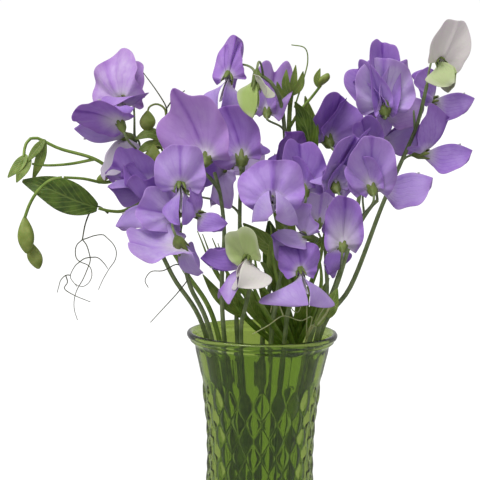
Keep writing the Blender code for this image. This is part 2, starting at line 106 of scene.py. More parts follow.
# Forms of floret.  fold: how far the halves of the standard fold back.  cup: how far they
# come forward at the edge.  curl: how far the upper margin rolls back.  frill: waviness of
# the margin.  spread: angle of the wings from the keel, near it and at their margin.
# wing: length and depth of the wings.
FORMS = {
    "open": dict(fold=8, cup=0.06, curl=0.12, frill=0.065, spread=(22, 78), wing=(0.62, 0.50)),
    "back": dict(fold=14, cup=0.08, curl=0.08, frill=0.06, spread=(15, 60), wing=(0.50, 0.42)),
    "side": dict(fold=34, cup=0.03, curl=0.12, frill=0.075, spread=(6, 38), wing=(0.88, 0.60)),
    "folded": dict(fold=62, cup=0.0, curl=0.08, frill=0.065, spread=(6, 35), wing=(0.60, 0.46)),
    "nod": dict(fold=30, cup=0.02, curl=0.05, frill=0.02, spread=(3, 14), wing=(0.60, 0.40)),
    "young": dict(fold=16, cup=0.16, curl=-0.03, frill=0.015, spread=(6, 26), wing=(0.62, 0.48)),
}

# Floret: throat; the way its wings point; the way its standard stands; width of the
# standard; form; and what is special about it.  tone runs from 0, pale lavender, to 1, deep
# violet; warm turns it pink; pale turns it grey-white and green turns it lime.  lobes are
# more folds of the standard: roll, lean, size, height, fold and how much deeper their tone.
# tall is the standard's height against a plain one's; notch, tip, crease and claw are the dip
# and the point at its top, the ridge down its middle and the reach of its pale foot; hang is
# how much further round it runs.  teeth and flare shape the calyx.  wing_ and keel_ before a
# colour give that petal its own.
FLORETS = {
    "floret_01": ((-94, 6, 350), (-4, -8, -1), (-5.2, 3, 8.3), 41, "open",
                  dict(tone=0.2, warm=0.6, tall=1.12, wing=(0.80, 0.62), spread=(30, 75),
                       wing_tone=0.25, wing_warm=0.3, lobes=((-28, 6, 0.75, 1.2, 60, 0.1),))),
    "floret_02": ((-92, -34, 337), (-3.5, 5.5, 7.5), (-8, -4, 3.5), 28, "back",
                  dict(tone=0.6, cup=0.15, claw=0.40, tall=1.5, warm=0.3)),
    "floret_03": ((-92, -4, 327), (-8, -4, 1.0), (-7, -1, -6), 36, "side",
                  dict(tone=0.3, pale=0.85, wing=(0.98, 0.62), wing_pale=-0.85, spread=(10, 45))),
    "floret_04": ((-71, -12, 296), (-8, -5, 0.3), (-8.5, -2, 3), 34, "side",
                  dict(tone=0.55, tall=1.25, wing=(1.05, 0.42), wing_tone=-0.35, fold=24,
                       lobes=((12, -14, 0.8, 1.1, 40, 0.1),))),
    "floret_05": ((-68, -28, 286), (-7.5, -4, -3.5), (-7, -3, 2.5), 36, "side",
                  dict(tone=0.65, wing=(0.90, 0.46), wing_tone=-0.45, frill=0.09)),
    "floret_06": ((-56, -47, 281), (-5, 7, -2), (-9, -2.5, 1.5), 30, "back",
                  dict(tone=0.25, tall=1.15)),
    "floret_07": ((-52, -64, 263), (3, 4, -7), (-9, -2, -0.5), 40, "back",
                  dict(tone=0.2, tall=1.15, claw=0.34, wing=(0.62, 0.42))),
    "floret_08": ((-53, -54, 299), (0.5, -5, -7), (0, -2.5, 9), 32, "open",
                  dict(tone=0.3, tall=1.05, wing=(0.85, 0.50), wing_tone=0.1, spread=(12, 48))),
    "floret_09": ((-38, -34, 315), (1.5, 8, 3.5), (-3.7, 1, 9.2), 44, "back",
                  dict(tone=0.35, warm=0.6, tall=1.2, tip=0.22, frill=0.045, crease=0.05)),
    "floret_10": ((-42, -47, 281), (8, -4, -1.5), (2, -1, 7), 24, "side",
                  dict(tone=0.5, warm=0.3)),
    "floret_11": ((-15, -14, 315), (1, 7, 6), (-2.5, 2, 9), 40, "back",
                  dict(tone=0.5, warm=0.3, fold=18, tall=1.05, tip=0.08)),
    "floret_12": ((-25, 8, 367), (-2, -6, -7), (1.5, 1, 9), 32, "folded",
                  dict(tone=0.55, warm=0.35, tall=1.2, wing=(0.98, 0.62), spread=(18, 60),
                       wing_tone=-0.2, lobes=((52, 0, 0.85, 1.2, 55, 0.0),))),
    "floret_13": ((1, 10, 345), (0.5, 7, 4), (1.5, 3, 9), 28, "back",
                  dict(tone=0.3, warm=0.3, tall=1.6, tip=-0.12, fold=26,
                       lobes=((-30, 4, 0.7, 1.3, 40, 0.1),))),
    "floret_14": ((-11, 39, 320), (1, 4, -8), (0, -4, -8), 30, "nod",
                  dict(tone=0.25, pale=0.45)),
    "floret_15": ((-27, 27, 305), (-6, -4, -3), (-4, -3, -6), 32, "side",
                  dict(tone=0.4, pale=0.35, wing_pale=-0.35, wing_tone=0.2)),
    "floret_16": ((-11, -62, 256), (-2.5, -6, -6), (-3, -2.5, 8), 24, "young",
                  dict(tone=0.1, pale=0.95, tall=1.15, wing=(0.95, 0.9), spread=(22, 52),
                       green=0.8)),
    "floret_17": ((-12, -50, 249), (-8, -3, 1.5), (-7, -4, -3.5), 32, "side",
                  dict(tone=0.2, warm=0.2, wing=(0.95, 0.55), wing_tone=0.4, frill=0.09)),
    "floret_18": ((25, -18, 295), (-1, 7, 4), (-1, 2, 8), 32, "back",
                  dict(tone=0.5, fold=26, tall=1.3, claw=0.3,
                       lobes=((-35, -5, 0.8, 1.1, 30, 0.2),))),
    "floret_19": ((4, -54, 290), (0, -9, -2), (0, 1, 9), 42, "open",
                  dict(tone=0.4, tall=0.85, wing=(0.66, 0.62), wing_tone=-0.25, spread=(64, 4),
                       hang=24, wing_rise=0.3)),
    "floret_20": ((25, -44, 268), (-8, -4, 1), (-4, 2, 6), 26, "side",
                  dict(tone=0.35, pale=0.2, wing=(0.95, 0.80))),
    "floret_21": ((22, -58, 247), (1.5, -6, -5.5), (-0.5, 2, 8), 26, "open",
                  dict(tone=0.6, tall=1.1, wing=(0.98, 1.05), wing_tone=-0.4, spread=(54, 48),
                       frill=0.09)),
    "floret_22": ((37, 24, 270), (1, 8, 3), (1, 2, 8), 28, "back",
                  dict(tone=0.1)),
    "floret_23": ((15, 6, 310), (-7, 4, 3), (-1, -1.5, 8), 30, "back",
                  dict(tone=0.8, warm=0.4, tip=0.1)),
    "floret_24": ((76, -12, 349), (-0.5, 7, 6), (-0.5, 1, 9), 40, "back",
                  dict(tone=0.15, tall=1.0, fold=12,
                       lobes=((0, -12, 0.62, 2.3, 40, 0.4), (-45, -4, 0.65, 1.7, 35, 0.3),
                              (-66, 0, 0.5, 1.6, 35, 0.3), (28, -8, 0.55, 1.9, 35, 0.2)))),
    "floret_25": ((79, 22, 346), (8, -3, 3), (6, -3, 6), 34, "side",
                  dict(tone=0.25, warm=0.6, wing=(0.85, 0.70), wing_warm=0.6)),
    "floret_26": ((42, 21, 326), (-2, 7, 4), (1.5, 1, 8), 38, "back",
                  dict(tone=0.55, fold=24, tall=1.1, lobes=((22, -8, 0.8, 1.3, 35, 0.2),))),
    "floret_27": ((44, -28, 299), (-2, 7, 4), (3.2, 0, 9), 32, "back",
                  dict(tone=0.35, fold=30, tall=1.5, claw=0.34,
                       lobes=((14, -8, 0.75, 2.2, 30, 0.15), (-20, 5, 0.7, 0.9, 20, -0.1)))),
    "floret_28": ((68, 2, 319), (0.5, 8, 1), (-2.4, -3, 9), 28, "folded",
                  dict(tone=0.5, tall=1.4, fold=50)),
    "floret_29": ((79, 42, 325), (7, -3, 4), (3, -4, 5), 34, "side",
                  dict(tone=0.25, wing=(0.90, 0.70))),
    "floret_30": ((66, -46, 299), (-0.5, 7, 4), (-0.5, -1, 8.5), 32, "back",
                  dict(tone=0.35, tall=1.35, fold=18, claw=0.28,
                       lobes=((-30, -5, 0.7, 1.3, 30, 0.1),))),
    "floret_31": ((73, -24, 299), (8, -3, 2), (2, -2, 8), 32, "side",
                  dict(tone=0.35, wing=(1.1, 0.75))),
    "floret_32": ((105, 8, 319), (8.5, -2, 1.2), (5.5, -1, 7), 32, "side",
                  dict(tone=0.5, fold=50, tall=1.2, wing=(1.0, 0.66))),
    "floret_33": ((112, -6, 379), (2.5, -8, -4.5), (3.8, 0, 8), 31, "young",
                  dict(tone=0.05, pale=0.9, tall=1.25, fold=6, notch=0.02, wing=(0.90, 0.60),
                       wing_green=0.7, keel_green=0.8)),
    "floret_34": ((111, 14, 354), (8.5, -2, 1), (0.5, -1, 8), 26, "side",
                  dict(tone=0.5, fold=50, tall=1.1, wing=(1.05, 0.75))),
    "floret_35": ((49, -45, 263), (1, 7, 4), (0.2, -0.5, 8), 26, "back",
                  dict(tone=0.5, fold=20, tall=1.6, claw=0.60, frill=0.10)),
    "floret_36": ((46, -10, 259), (-2, -5, -6), (-3, 2, 5), 26, "side",
                  dict(tone=0.6)),
    "floret_37": ((-54, 52, 291), (0, 8, 2), (-0.5, 2, 8), 34, "open",
                  dict(tone=0.4)),
    "floret_38": ((32, 54, 275), (1, 8, 1), (0, 2, 8), 36, "open",
                  dict(tone=0.5)),
    "floret_39": ((-7, -30, 365), (-0.5, -2.5, -8), (4, -5, -6), 20, "young",
                  dict(tone=0.1, pale=0.9, green=0.4, teeth=1.2, flare=1.4, wing=(1.25, 0.70),
                       wing_green=0.9, spread=(6, 24), fold=40)),
}

STEMS = {
    "flower_stem_01": ((-38, -6), [(-60, -4, 237), (-75, 0, 270), (-82, 2, 306), (-86, 2, 328)],
                       ["floret_01", "floret_02", "floret_03", "floret_04"]),
    "flower_stem_02": ((-34, -15), [(-48, -14, 232), (-53, -12, 255), (-57, -8, 279),
                                    (-60, -4, 293)],
                       ["floret_05", "floret_06", "floret_07"]),
    "flower_stem_03": ((-25, -21), [(-27, -20, 236), (-26, -16, 267), (-29, -10, 291),
                                    (-33, -4, 305)],
                       ["floret_08", "floret_09", "floret_10"]),
    "flower_stem_04": ((-17, 10), [(-16, 14, 218), (-16, 16, 259), (-16, 14, 289), (-14, 8, 310)],
                       ["floret_11", "floret_14", "floret_15", "floret_37"]),
    "flower_stem_05": ((1, 19), [(6, 22, 231), (14, 24, 272), (14, 20, 313), (11, 10, 346),
                                 (4, 0, 363), (-8, 0, 371)],
                       ["floret_12", "floret_13", "floret_39"]),
    "flower_stem_06": ((-14, -34), [(-12, -38, 220), (-9, -40, 234), (-9, -42, 245)],
                       ["floret_16", "floret_17"]),
    "flower_stem_07": ((6, -10), [(9, -8, 222), (13, -2, 261), (17, 4, 287), (17, 8, 303)],
                       ["floret_18", "floret_19", "floret_23", "floret_38"]),
    "flower_stem_08": ((14, -30), [(16, -34, 220), (22, -36, 236), (27, -30, 255), (25, -24, 261)],
                       ["floret_20", "floret_21"]),
    "flower_stem_09": ((38, 8), [(49, 14, 230), (60, 20, 266), (66, 26, 300), (68, 27, 327),
                                 (72, 12, 342)],
                       ["floret_24", "floret_25", "floret_26"]),
    "flower_stem_10": ((31, -23), [(46, -24, 232), (56, -22, 264), (67, -16, 283), (73, -12, 289)],
                       ["floret_27", "floret_28", "floret_30", "floret_31", "floret_35"]),
    "flower_stem_11": ((39, -2), [(59, 6, 231), (79, 14, 284), (91, 12, 314), (99, 1, 338),
                                  (104, -4, 364)],
                       ["floret_29", "floret_32", "floret_33", "floret_34"]),
    "flower_stem_12": ((36, -13), [(42, -4, 224), (42, 8, 244), (41, 12, 262)],
                       ["floret_22", "floret_36"]),
}

RACEME_STALK = [(-78.6, 1, 288), (-70, -2, 304), (-65, -3, 319), (-65, -4, 340)]
RACEME_LEAFLETS = [
    ([(-66, -3, 326), (-75, -8, 330), (-85, -10, 326)], 8, (-2, -8, 3)),
    ([(-66, -3, 330), (-60, -8, 334), (-53, -10, 330)], 7, (2, -8, 3)),
    ([(-66, -3, 322), (-76, -9, 322), (-84, -11, 316)], 7, (-2, -8, 1)),
    ([(-68, -3, 312), (-61, -8, 318), (-52, -10, 318)], 8, (2, -8, 1))]

RACEME_TURNS = [
    [(-65, -4, 340), (-66, -4, 346), (-71, -4, 349), (-76, -5, 347), (-77, -6, 342)],
    [(-66, -3, 316), (-69, -6, 322), (-73, -8, 321)]]
RACEME_CURLS = [
    [(-65, -4, 340), (-65, -4, 347), (-71, -4, 357), (-80, -4, 369)],
    [(-65, -4, 346), (-60, -4, 353), (-53, -4, 358)],
    [(-65, -4, 334), (-58, -7, 338), (-50, -9, 332), (-46, -10, 322)]]

VINE_LEFT = ((-31, 14), [(-53, 22, 237), (-77, 20, 274), (-98, 12, 300), (-112, 6, 312),
                         (-135, 0, 319), (-150, -4, 326), (-156, -6, 322), (-157, -8, 314)])
VINE_LEFT_SIDE = [(-97, 12, 299), (-106, 3, 297), (-118, -9, 300), (-130, -15, 301)]
VINE_LEFT_TWIG = [(-113, 6, 312), (-128, 2, 309), (-142, -3, 308), (-152, -6, 309)]
VINE_LEFT_LEAFLETS = [
    ([(-155, -8, 315), (-160, -10, 308), (-167, -11, 300)], 8, (-2, -8, 2)),
    ([(-153, -7, 313), (-157, -11, 306), (-161, -13, 297)], 8, (1, -8, 2)),
    ([(-144, -3, 325), (-150, -8, 317), (-155, -9, 310)], 6, (2, -8, 2)),
    ([(-144, -3, 325), (-147, -5, 312), (-152, -4, 298)], 7, (3, -8, 1)),
    ([(-104, 7, 303), (-101, 2, 309), (-97, 0, 314)], 7, (1, -8, 2))]
VINE_LEFT_LOW = [(-84, 17, 283), (-93, 10, 278), (-101, 4, 278), (-109, 0, 280)]
VINE_CENTRE = ((24, 24), [(23, 34, 244), (18, 32, 285), (16, 24, 319), (16, 16, 346),
                          (17, 12, 358)])
VINE_CENTRE_SIDE = [(16, 20, 334), (22, 12, 345), (30, 9, 355), (36, 7, 363)]
VINE_CENTRE_TENDRIL = [(19, 13, 348), (24, 12, 365), (27, 10, 378), (25, 8, 387), (16, 8, 389)]
VINE_CENTRE_LEAFLETS = [
    ([(17, 12, 354), (13, 8, 362), (13, 6, 373)], 6, (-1, -8, 1)),
    ([(17, 12, 356), (18, 7, 366), (19, 5, 376)], 5, (1, -8, 1)),
    ([(17, 12, 356), (22, 8, 363), (24, 6, 372)], 6, (2, -8, 1)),
    ([(17, 12, 350), (10, 10, 356), (7, 8, 365)], 6, (-2, -8, 1)),
    ([(35, 7, 361), (33, 5, 367), (35, 4, 374)], 5, (1, -8, 1)),
    ([(33, 20, 318), (31, 18, 336), (26, 16, 356)], 11, (-5, -8, 1)),
    ([(19, 30, 250), (14, 20, 268), (6, 10, 280)], 13, (-2, -8, 3)),
    ([(21, 32, 232), (30, 24, 250), (42, 18, 262)], 13, (2, -8, 3)),
    ([(10, 2, 226), (6, -8, 244), (4, -12, 262)], 9, (1, -8, 1)),
    ([(24, 24, 192), (26, 2, 214), (30, -12, 234)], 10, (1, -8, 1)),
    ([(24, 24, 192), (8, 6, 212), (-4, -6, 236)], 11, (-1, -8, 2)),
    ([(24, 24, 190), (36, 12, 214), (44, 4, 236)], 10, (2, -8, 2)),
    ([(24, 24, 190), (-2, 14, 214), (-20, 6, 238)], 11, (-2, -8, 2)),
    ([(24, 24, 194), (14, 12, 216), (16, 2, 246)], 9, (0, -8, 1)),
    ([(-10, -2, 208), (-20, -10, 222), (-24, -14, 242)], 8, (-1, -8, 1)),
    ([(0, -4, 206), (-8, -16, 220), (-12, -20, 240)], 8, (1, -8, 1)),
    ([(-10, -2, 208), (-28, -2, 222), (-40, -4, 238)], 8, (-2, -8, 2)),
    ([(20, 33, 240), (2, 24, 256), (-14, 20, 270)], 14, (-1, -8, 4)),
    ([(22, 31, 225), (8, 12, 236), (-2, 2, 246)], 12, (-1, -8, 4))]
# Bare green shoots that branch off the centre vine just below the mouth of the vase
SHOOTS = [
    [(24, 24, 186), (17, 8, 214), (8, -8, 240), (4, -14, 272)],
    [(24, 24, 184), (6, 18, 216), (-10, 10, 244), (-16, 4, 276)],
    [(24, 24, 190), (30, 14, 222), (38, 6, 250), (42, 2, 284)],
    [(24, 24, 182), (0, 8, 212), (-22, 0, 236), (-34, -4, 262)],
    [(24, 24, 188), (26, 4, 216), (22, -10, 238), (14, -18, 262)],
    [(24, 24, 180), (12, 2, 212), (-2, -10, 234), (-8, -14, 262)],
    [(24, 24, 180), (-6, 6, 210), (-30, 2, 236), (-44, 2, 266)],
    [(24, 24, 184), (34, 2, 214), (38, -10, 236), (34, -14, 262)],
    [(24, 24, 176), (0, -4, 206), (-20, -14, 232), (-30, -16, 260)],
    [(24, 24, 176), (-10, -2, 208), (-28, -12, 236), (-40, -18, 266)],
    [(24, 24, 178), (6, -14, 208), (-6, -26, 232), (-12, -34, 256)]]
LEFT_CURLS = [
    [(-103, 2.5, 276.6), (-109, 3, 281), (-114, 3, 279), (-118, 3, 270), (-120, 2, 259)],
    [(-120, 2, 259), (-117, 1, 260), (-112, -1, 262), (-106, -3, 263), (-103, -4, 261),
     (-99, -4, 257), (-97, -3, 252), (-98, -1, 246), (-102, 1, 240), (-106, 1, 233),
     (-109, 0, 226)],
    [(-120, 2, 259), (-124, 4, 255), (-125, 5, 250), (-124, 4, 246), (-121, 2, 244),
     (-117, -1, 243), (-114, -3, 241), (-113, -3, 236), (-115, -2, 231), (-119, 0, 228),
     (-122, 2, 228), (-125, 4, 229)],
    [(-120, 2, 259), (-117, -1, 256), (-115, -3, 251), (-114, -4, 246), (-116, -4, 240),
     (-119, -3, 233), (-123, -1, 226), (-125, 0, 219), (-125, 1, 212), (-123, 2, 205)],
    [(-114, -4, 248), (-118, -3, 247), (-122, -1, 244), (-125, 1, 241), (-128, 3, 235),
     (-127, 2, 232), (-123, -1, 228)],
    [(-114, -4, 248), (-109, -5, 248), (-105, -3, 244), (-103, 1, 240)],
    [(-128, 3, 235), (-131, 2, 235), (-134, 0, 232), (-135, -2, 228), (-136, -3, 224)],
    [(-131, 2, 235), (-130, 4, 230), (-132, 3, 226), (-125, 0, 222), (-114, -2, 218)]]
STEM_CURLS = [
    [(-50, -14, 240), (-56, -18, 246), (-65, -20, 242), (-73, -18, 241), (-77, -16, 235),
     (-75, -14, 230)],
    [(-48, -14, 237), (-56, -18, 227), (-65, -20, 217), (-73, -20, 208)]]
VINE_FRONT = ((28, -29), [(34, -38, 211), (40, -42, 220), (42, -43, 226)])

# Strands in front of the rim; the first three start on the shoot of VINE_FRONT
FRONT_CURLS = [
    [(39, -50, 226), (45, -52, 225)],
    [(26, -50, 229), (19, -53, 229), (17, -53, 224), (21, -52, 221), (23, -51, 225)],
    [(30, -50, 218), (23, -52, 216), (12, -53, 219), (3, -53, 213), (-7, -52, 207)],
    [(12, -53, 219), (9, -54, 227), (6, -54, 230), (4, -52, 221)]]
FRONT_LEAFLETS = [
    ([(41, -40, 216), (43, -44, 226), (46, -46, 236)], 9, (-2, -8, 1)),
    ([(34, -38, 210), (36, -41, 217), (36, -42, 225)], 7, (2, -8, 1))]
BUD_SPRAY_STALK = [(-131.3, -15, 301), (-139, -15, 299), (-147, -13, 292), (-153, -9, 283),
                   (-157, -6, 273)]
BUD_SPRAY_TWIG = [(-156, -7, 276), (-158, -4, 264), (-154, 1, 254)]

# Leaf: its midrib, its width, the way its upper face looks
LEAVES = {
    "leaf_left": ([(-109.8, -0.5, 280.4), (-123, -5, 285), (-141, -8, 293), (-158, -9, 298)],
                  22, (-2, -8, 3)),
    "leaf_centre": ([(30, 13, 308), (29, 11, 328), (24, 10, 344), (19, 8, 352)], 17, (-6, -8, 2)),
    "leaf_back": ([(20.5, 30, 212), (14, 36, 230), (8, 40, 252), (4, 42, 270)], 22, (-1, -9, 3)),
}


# ---- node trees ---------------------------------------------------------------------------
def wire(tree, kind, inputs=None, **settings):
    """Adds a node, sets what it is, and feeds each named input a socket or a constant."""
    made = tree.nodes.new(kind)
    for name, value in settings.items():
        setattr(made, name, value)
    for name, value in (inputs or {}).items():
        socket = made.inputs[name]
        if isinstance(value, bpy.types.NodeSocket):
            tree.links.new(value, socket)
        else:
            socket.default_value = value
    return made


def maths(tree, operation, first, second=0.0, third=0.0):
    """One Math node; returns its output socket."""
    return wire(tree, "ShaderNodeMath", {0: first, 1: second, 2: third},
                operation=operation).outputs[0]


def mixed(tree, factor, first, second, blend="MIX"):
    """One colour Mix node; returns its colour output."""
    made = wire(tree, "ShaderNodeMix", {"Factor": factor}, data_type="RGBA", blend_type=blend)
    for socket, value in ((made.inputs[6], first), (made.inputs[7], second)):
        if isinstance(value, bpy.types.NodeSocket):
            tree.links.new(value, socket)
        else:
            socket.default_value = value
    return made.outputs[2]


def ramp(tree, factor, stops):
    """A colour ramp through (position, colour) stops."""
    made = wire(tree, "ShaderNodeValToRGB", {"Fac": factor})
    band = made.color_ramp
    band.interpolation = "EASE"
    while len(band.elements) < len(stops):
        band.elements.new(0.5)
    for element, (place, colour) in zip(band.elements, stops):
        element.position = place
        element.color = colour
    return made.outputs["Color"]


def hue(red, green, blue):
    """A colour given as it looks on a screen, 0 to 255, as linear RGBA."""
    def linear(part):
        part /= 255
        return part / 12.92 if part <= 0.04045 else ((part + 0.055) / 1.055) ** 2.4
    return (linear(red), linear(green), linear(blue), 1.0)


def new_group(name, inputs, outputs):
    """An empty shader node group with its sockets, and its two end nodes."""
    tree = bpy.data.node_groups.new(name, "ShaderNodeTree")
    for label, kind, value in inputs:
        socket = tree.interface.new_socket(label, in_out="INPUT", socket_type=kind)
        if value is not None:
            socket.default_value = value
    for label, kind in outputs:
        tree.interface.new_socket(label, in_out="OUTPUT", socket_type=kind)
    return tree, tree.nodes.new("NodeGroupInput"), tree.nodes.new("NodeGroupOutput")


def vein_group():
    """Fine veins that fan out from a petal's claw; its UV runs across and along the petal."""
    tree, source, sink = new_group(
        "petal_veins",
        [("UV", "NodeSocketVector", None), ("Count", "NodeSocketFloat", 18.0)],
        [("Veins", "NodeSocketFloat"), ("Height", "NodeSocketFloat")])
    uv = source.outputs["UV"]
    wander = wire(tree, "ShaderNodeTexNoise", {"Vector": uv, "Scale": 5.0, "Detail": 2.0})
    parts = wire(tree, "ShaderNodeSeparateXYZ", {"Vector": uv})
    across, along = parts.outputs["X"], parts.outputs["Y"]
    drift = maths(tree, "MULTIPLY", maths(tree, "SUBTRACT", wander.outputs["Fac"], 0.5), 0.09)
    bent = maths(tree, "ADD", across, drift)

    def lines(count, sharpness):
        wave = maths(tree, "SINE", maths(tree, "MULTIPLY", bent, count))
        return maths(tree, "POWER", maths(tree, "ABSOLUTE", wave), sharpness)

    count = maths(tree, "MULTIPLY", source.outputs["Count"], math.pi)
    main = lines(count, 14.0)
    fine = maths(tree, "MULTIPLY", lines(maths(tree, "MULTIPLY", count, 2.6), 8.0), along)
    fade = maths(tree, "SUBTRACT", 1.15, along)
    veins = maths(tree, "ADD", maths(tree, "MULTIPLY", main, fade),
                  maths(tree, "MULTIPLY", fine, 0.35))
    tree.links.new(maths(tree, "MINIMUM", veins, 1.0), sink.inputs["Veins"])
    tree.links.new(maths(tree, "MULTIPLY", veins, -1.0), sink.inputs["Height"])
    return tree


def mottle_group():
    """Soft uneven patches over a surface, from where it is on the object."""
    tree, source, sink = new_group(
        "mottle",
        [("Scale", "NodeSocketFloat", 90.0), ("Grain Scale", "NodeSocketFloat", 1500.0)],
        [("Patches", "NodeSocketFloat"), ("Grain", "NodeSocketFloat")])
    place = wire(tree, "ShaderNodeTexCoord").outputs["Object"]
    patches = wire(tree, "ShaderNodeTexNoise",
                   {"Vector": place, "Scale": source.outputs["Scale"], "Detail": 3.0,
                    "Roughness": 0.55})
    grain = wire(tree, "ShaderNodeTexNoise",
                 {"Vector": place, "Scale": source.outputs["Grain Scale"], "Detail": 1.0})
    tree.links.new(patches.outputs["Fac"], sink.inputs["Patches"])
    tree.links.new(grain.outputs["Fac"], sink.inputs["Grain"])
    return tree


def streak_group():
    """Long streaks that run up a stalk; reads the stalk's own run and turn attributes."""
    tree, source, sink = new_group(
        "stalk_streaks",
        [("Ribs", "NodeSocketFloat", 6.0)],
        [("Streaks", "NodeSocketFloat"), ("Height", "NodeSocketFloat")])
    run = wire(tree, "ShaderNodeAttribute", attribute_name="run").outputs["Fac"]
    turn = wire(tree, "ShaderNodeAttribute", attribute_name="turn").outputs["Fac"]
    angle = maths(tree, "MULTIPLY", turn, math.tau)
    place = wire(tree, "ShaderNodeCombineXYZ",
                 {"X": maths(tree, "COSINE", angle), "Y": maths(tree, "SINE", angle),
                  "Z": maths(tree, "MULTIPLY", run, 18.0)})
    noise = wire(tree, "ShaderNodeTexNoise",
                 {"Vector": place.outputs["Vector"], "Scale": 2.2, "Detail": 3.0})
    ribs = maths(tree, "COSINE", maths(tree, "MULTIPLY", angle, source.outputs["Ribs"]))
    tree.links.new(noise.outputs["Fac"], sink.inputs["Streaks"])
    tree.links.new(ribs, sink.inputs["Height"])
    return tree


def leaf_group():
    """A leaf's midrib and its arching side veins; its UV runs across and along the leaf."""
    tree, source, sink = new_group(
        "leaf_veins",
        [("UV", "NodeSocketVector", None), ("Pairs", "NodeSocketFloat", 7.0)],
        [("Veins", "NodeSocketFloat"), ("Midrib", "NodeSocketFloat"),
         ("Height", "NodeSocketFloat")])
    parts = wire(tree, "ShaderNodeSeparateXYZ", {"Vector": source.outputs["UV"]})
    off = maths(tree, "ABSOLUTE", maths(tree, "SUBTRACT", parts.outputs["X"], 0.5))
    midrib = maths(tree, "SUBTRACT", 1.0, maths(tree, "MULTIPLY", off, 22.0))
    midrib = maths(tree, "MAXIMUM", midrib, 0.0)
    wander = wire(tree, "ShaderNodeTexNoise", {"Vector": source.outputs["UV"], "Scale": 4.0})
    lean = maths(tree, "SUBTRACT", parts.outputs["Y"], maths(tree, "MULTIPLY", off, 0.75))
    lean = maths(tree, "ADD", lean, maths(tree, "MULTIPLY", wander.outputs["Fac"], 0.06))
    wave = maths(tree, "SINE", maths(tree, "MULTIPLY", lean,
                                     maths(tree, "MULTIPLY", source.outputs["Pairs"], math.tau)))
    side = maths(tree, "POWER", maths(tree, "ABSOLUTE", wave), 16.0)
    veins = maths(tree, "MAXIMUM", maths(tree, "MULTIPLY", side, 0.6), midrib)
    tree.links.new(veins, sink.inputs["Veins"])
    tree.links.new(midrib, sink.inputs["Midrib"])
    tree.links.new(maths(tree, "MULTIPLY", veins, -1.0), sink.inputs["Height"])
    return tree


GROUPS = {"veins": vein_group(), "mottle": mottle_group(), "streaks": streak_group(),
          "leaf": leaf_group()}


def group(tree, name, inputs=None):
    """Places one of the shared groups in a material."""
    made = tree.nodes.new("ShaderNodeGroup")
    made.node_tree = GROUPS[name]
    for label, value in (inputs or {}).items():
        if isinstance(value, bpy.types.NodeSocket):
            tree.links.new(value, made.inputs[label])
        else:
            made.inputs[label].default_value = value
    return made


def new_finish(name, **constants):
    """A material, its tree and its Principled shader with constants on the shader's sockets."""
    finish = bpy.data.materials.new(name)
    finish.use_nodes = True
    tree = finish.node_tree
    shader = tree.nodes["Principled BSDF"]
    for label, value in constants.items():
        shader.inputs[label.replace("_", " ")].default_value = value
    return finish, tree, shader


def bump(tree, shader, height, strength, distance):
    """Feeds the shader a normal from a height."""
    made = wire(tree, "ShaderNodeBump",
                {"Height": height, "Strength": strength, "Distance": distance})
    tree.links.new(made.outputs["Normal"], shader.inputs["Normal"])


def petal_finish(name, white):
    """Velvety petal: lavender to violet, pinker, whiter or greener as its bloom attribute says."""
    finish, tree, shader = new_finish(
        name, Roughness=0.6, Subsurface_Weight=0.22, Subsurface_Scale=0.0016,
        Subsurface_Radius=(0.9, 0.6, 1.0), Sheen_Weight=0.12, Sheen_Roughness=0.5,
        Specular_IOR_Level=0.22)
    shader.inputs["Sheen Tint"].default_value = hue(206, 190, 232)
    uv = wire(tree, "ShaderNodeUVMap", uv_map="petal").outputs["UV"]
    veins = group(tree, "veins", {"UV": uv, "Count": 13.0})
    mottle = group(tree, "mottle", {"Scale": 110.0, "Grain Scale": 1700.0})
    bloom = wire(tree, "ShaderNodeAttribute", attribute_name="bloom")
    parts = wire(tree, "ShaderNodeSeparateColor", {"Color": bloom.outputs["Color"]})
    # the tone channel also carries painted shade along the standard's crease and the wings' inner
    # edges
    tone, pale, warm = (parts.outputs[part] for part in ("Red", "Green", "Blue"))
    uneven = maths(tree, "MULTIPLY_ADD", mottle.outputs["Patches"], 0.5, -0.25)
    depth = maths(tree, "ADD", tone, uneven)
    depth = maths(tree, "MULTIPLY_ADD", veins.outputs["Veins"], 0.12, depth)
    cool = ramp(tree, depth, [(0.0, hue(194, 176, 222)), (0.3, hue(174, 146, 212)),
                              (0.62, hue(150, 114, 196)), (1.0, hue(114, 74, 164))])
    pink = ramp(tree, depth, [(0.0, hue(202, 174, 218)), (0.4, hue(176, 134, 202)),
                              (1.0, hue(132, 82, 166))])
    colour = mixed(tree, warm, cool, pink)
    colour = mixed(tree, pale, colour, white)
    colour = mixed(tree, bloom.outputs["Alpha"], colour, hue(150, 176, 78))
    tree.links.new(colour, shader.inputs["Base Color"])
    rough = maths(tree, "MULTIPLY_ADD", mottle.outputs["Grain"], 0.2, 0.45)
    tree.links.new(rough, shader.inputs["Roughness"])
    height = maths(tree, "MULTIPLY_ADD", mottle.outputs["Grain"], 0.5, veins.outputs["Height"])
    bump(tree, shader, height, 0.35, 0.00025)
    return finish


def green_finish(name, dark, light, ribs=5.0, roughness=0.5):
    """Stalks, calyces, buds and tendrils: streaky green with a waxy bloom."""
    finish, tree, shader = new_finish(
        name, Roughness=roughness, Subsurface_Weight=0.12, Subsurface_Scale=0.0015,
        Specular_IOR_Level=0.4)
    streaks = group(tree, "streaks", {"Ribs": ribs})
    mottle = group(tree, "mottle", {"Scale": 160.0, "Grain Scale": 2200.0})
    blend = maths(tree, "MULTIPLY_ADD", streaks.outputs["Streaks"], 0.9,
                  maths(tree, "MULTIPLY_ADD", mottle.outputs["Patches"], 0.8, -0.4))
    colour = ramp(tree, blend, [(0.15, dark), (0.85, light)])
    tree.links.new(colour, shader.inputs["Base Color"])
    height = maths(tree, "MULTIPLY_ADD", mottle.outputs["Grain"], 0.6,
                   streaks.outputs["Height"])
    bump(tree, shader, height, 0.3, 0.00015)
    return finish


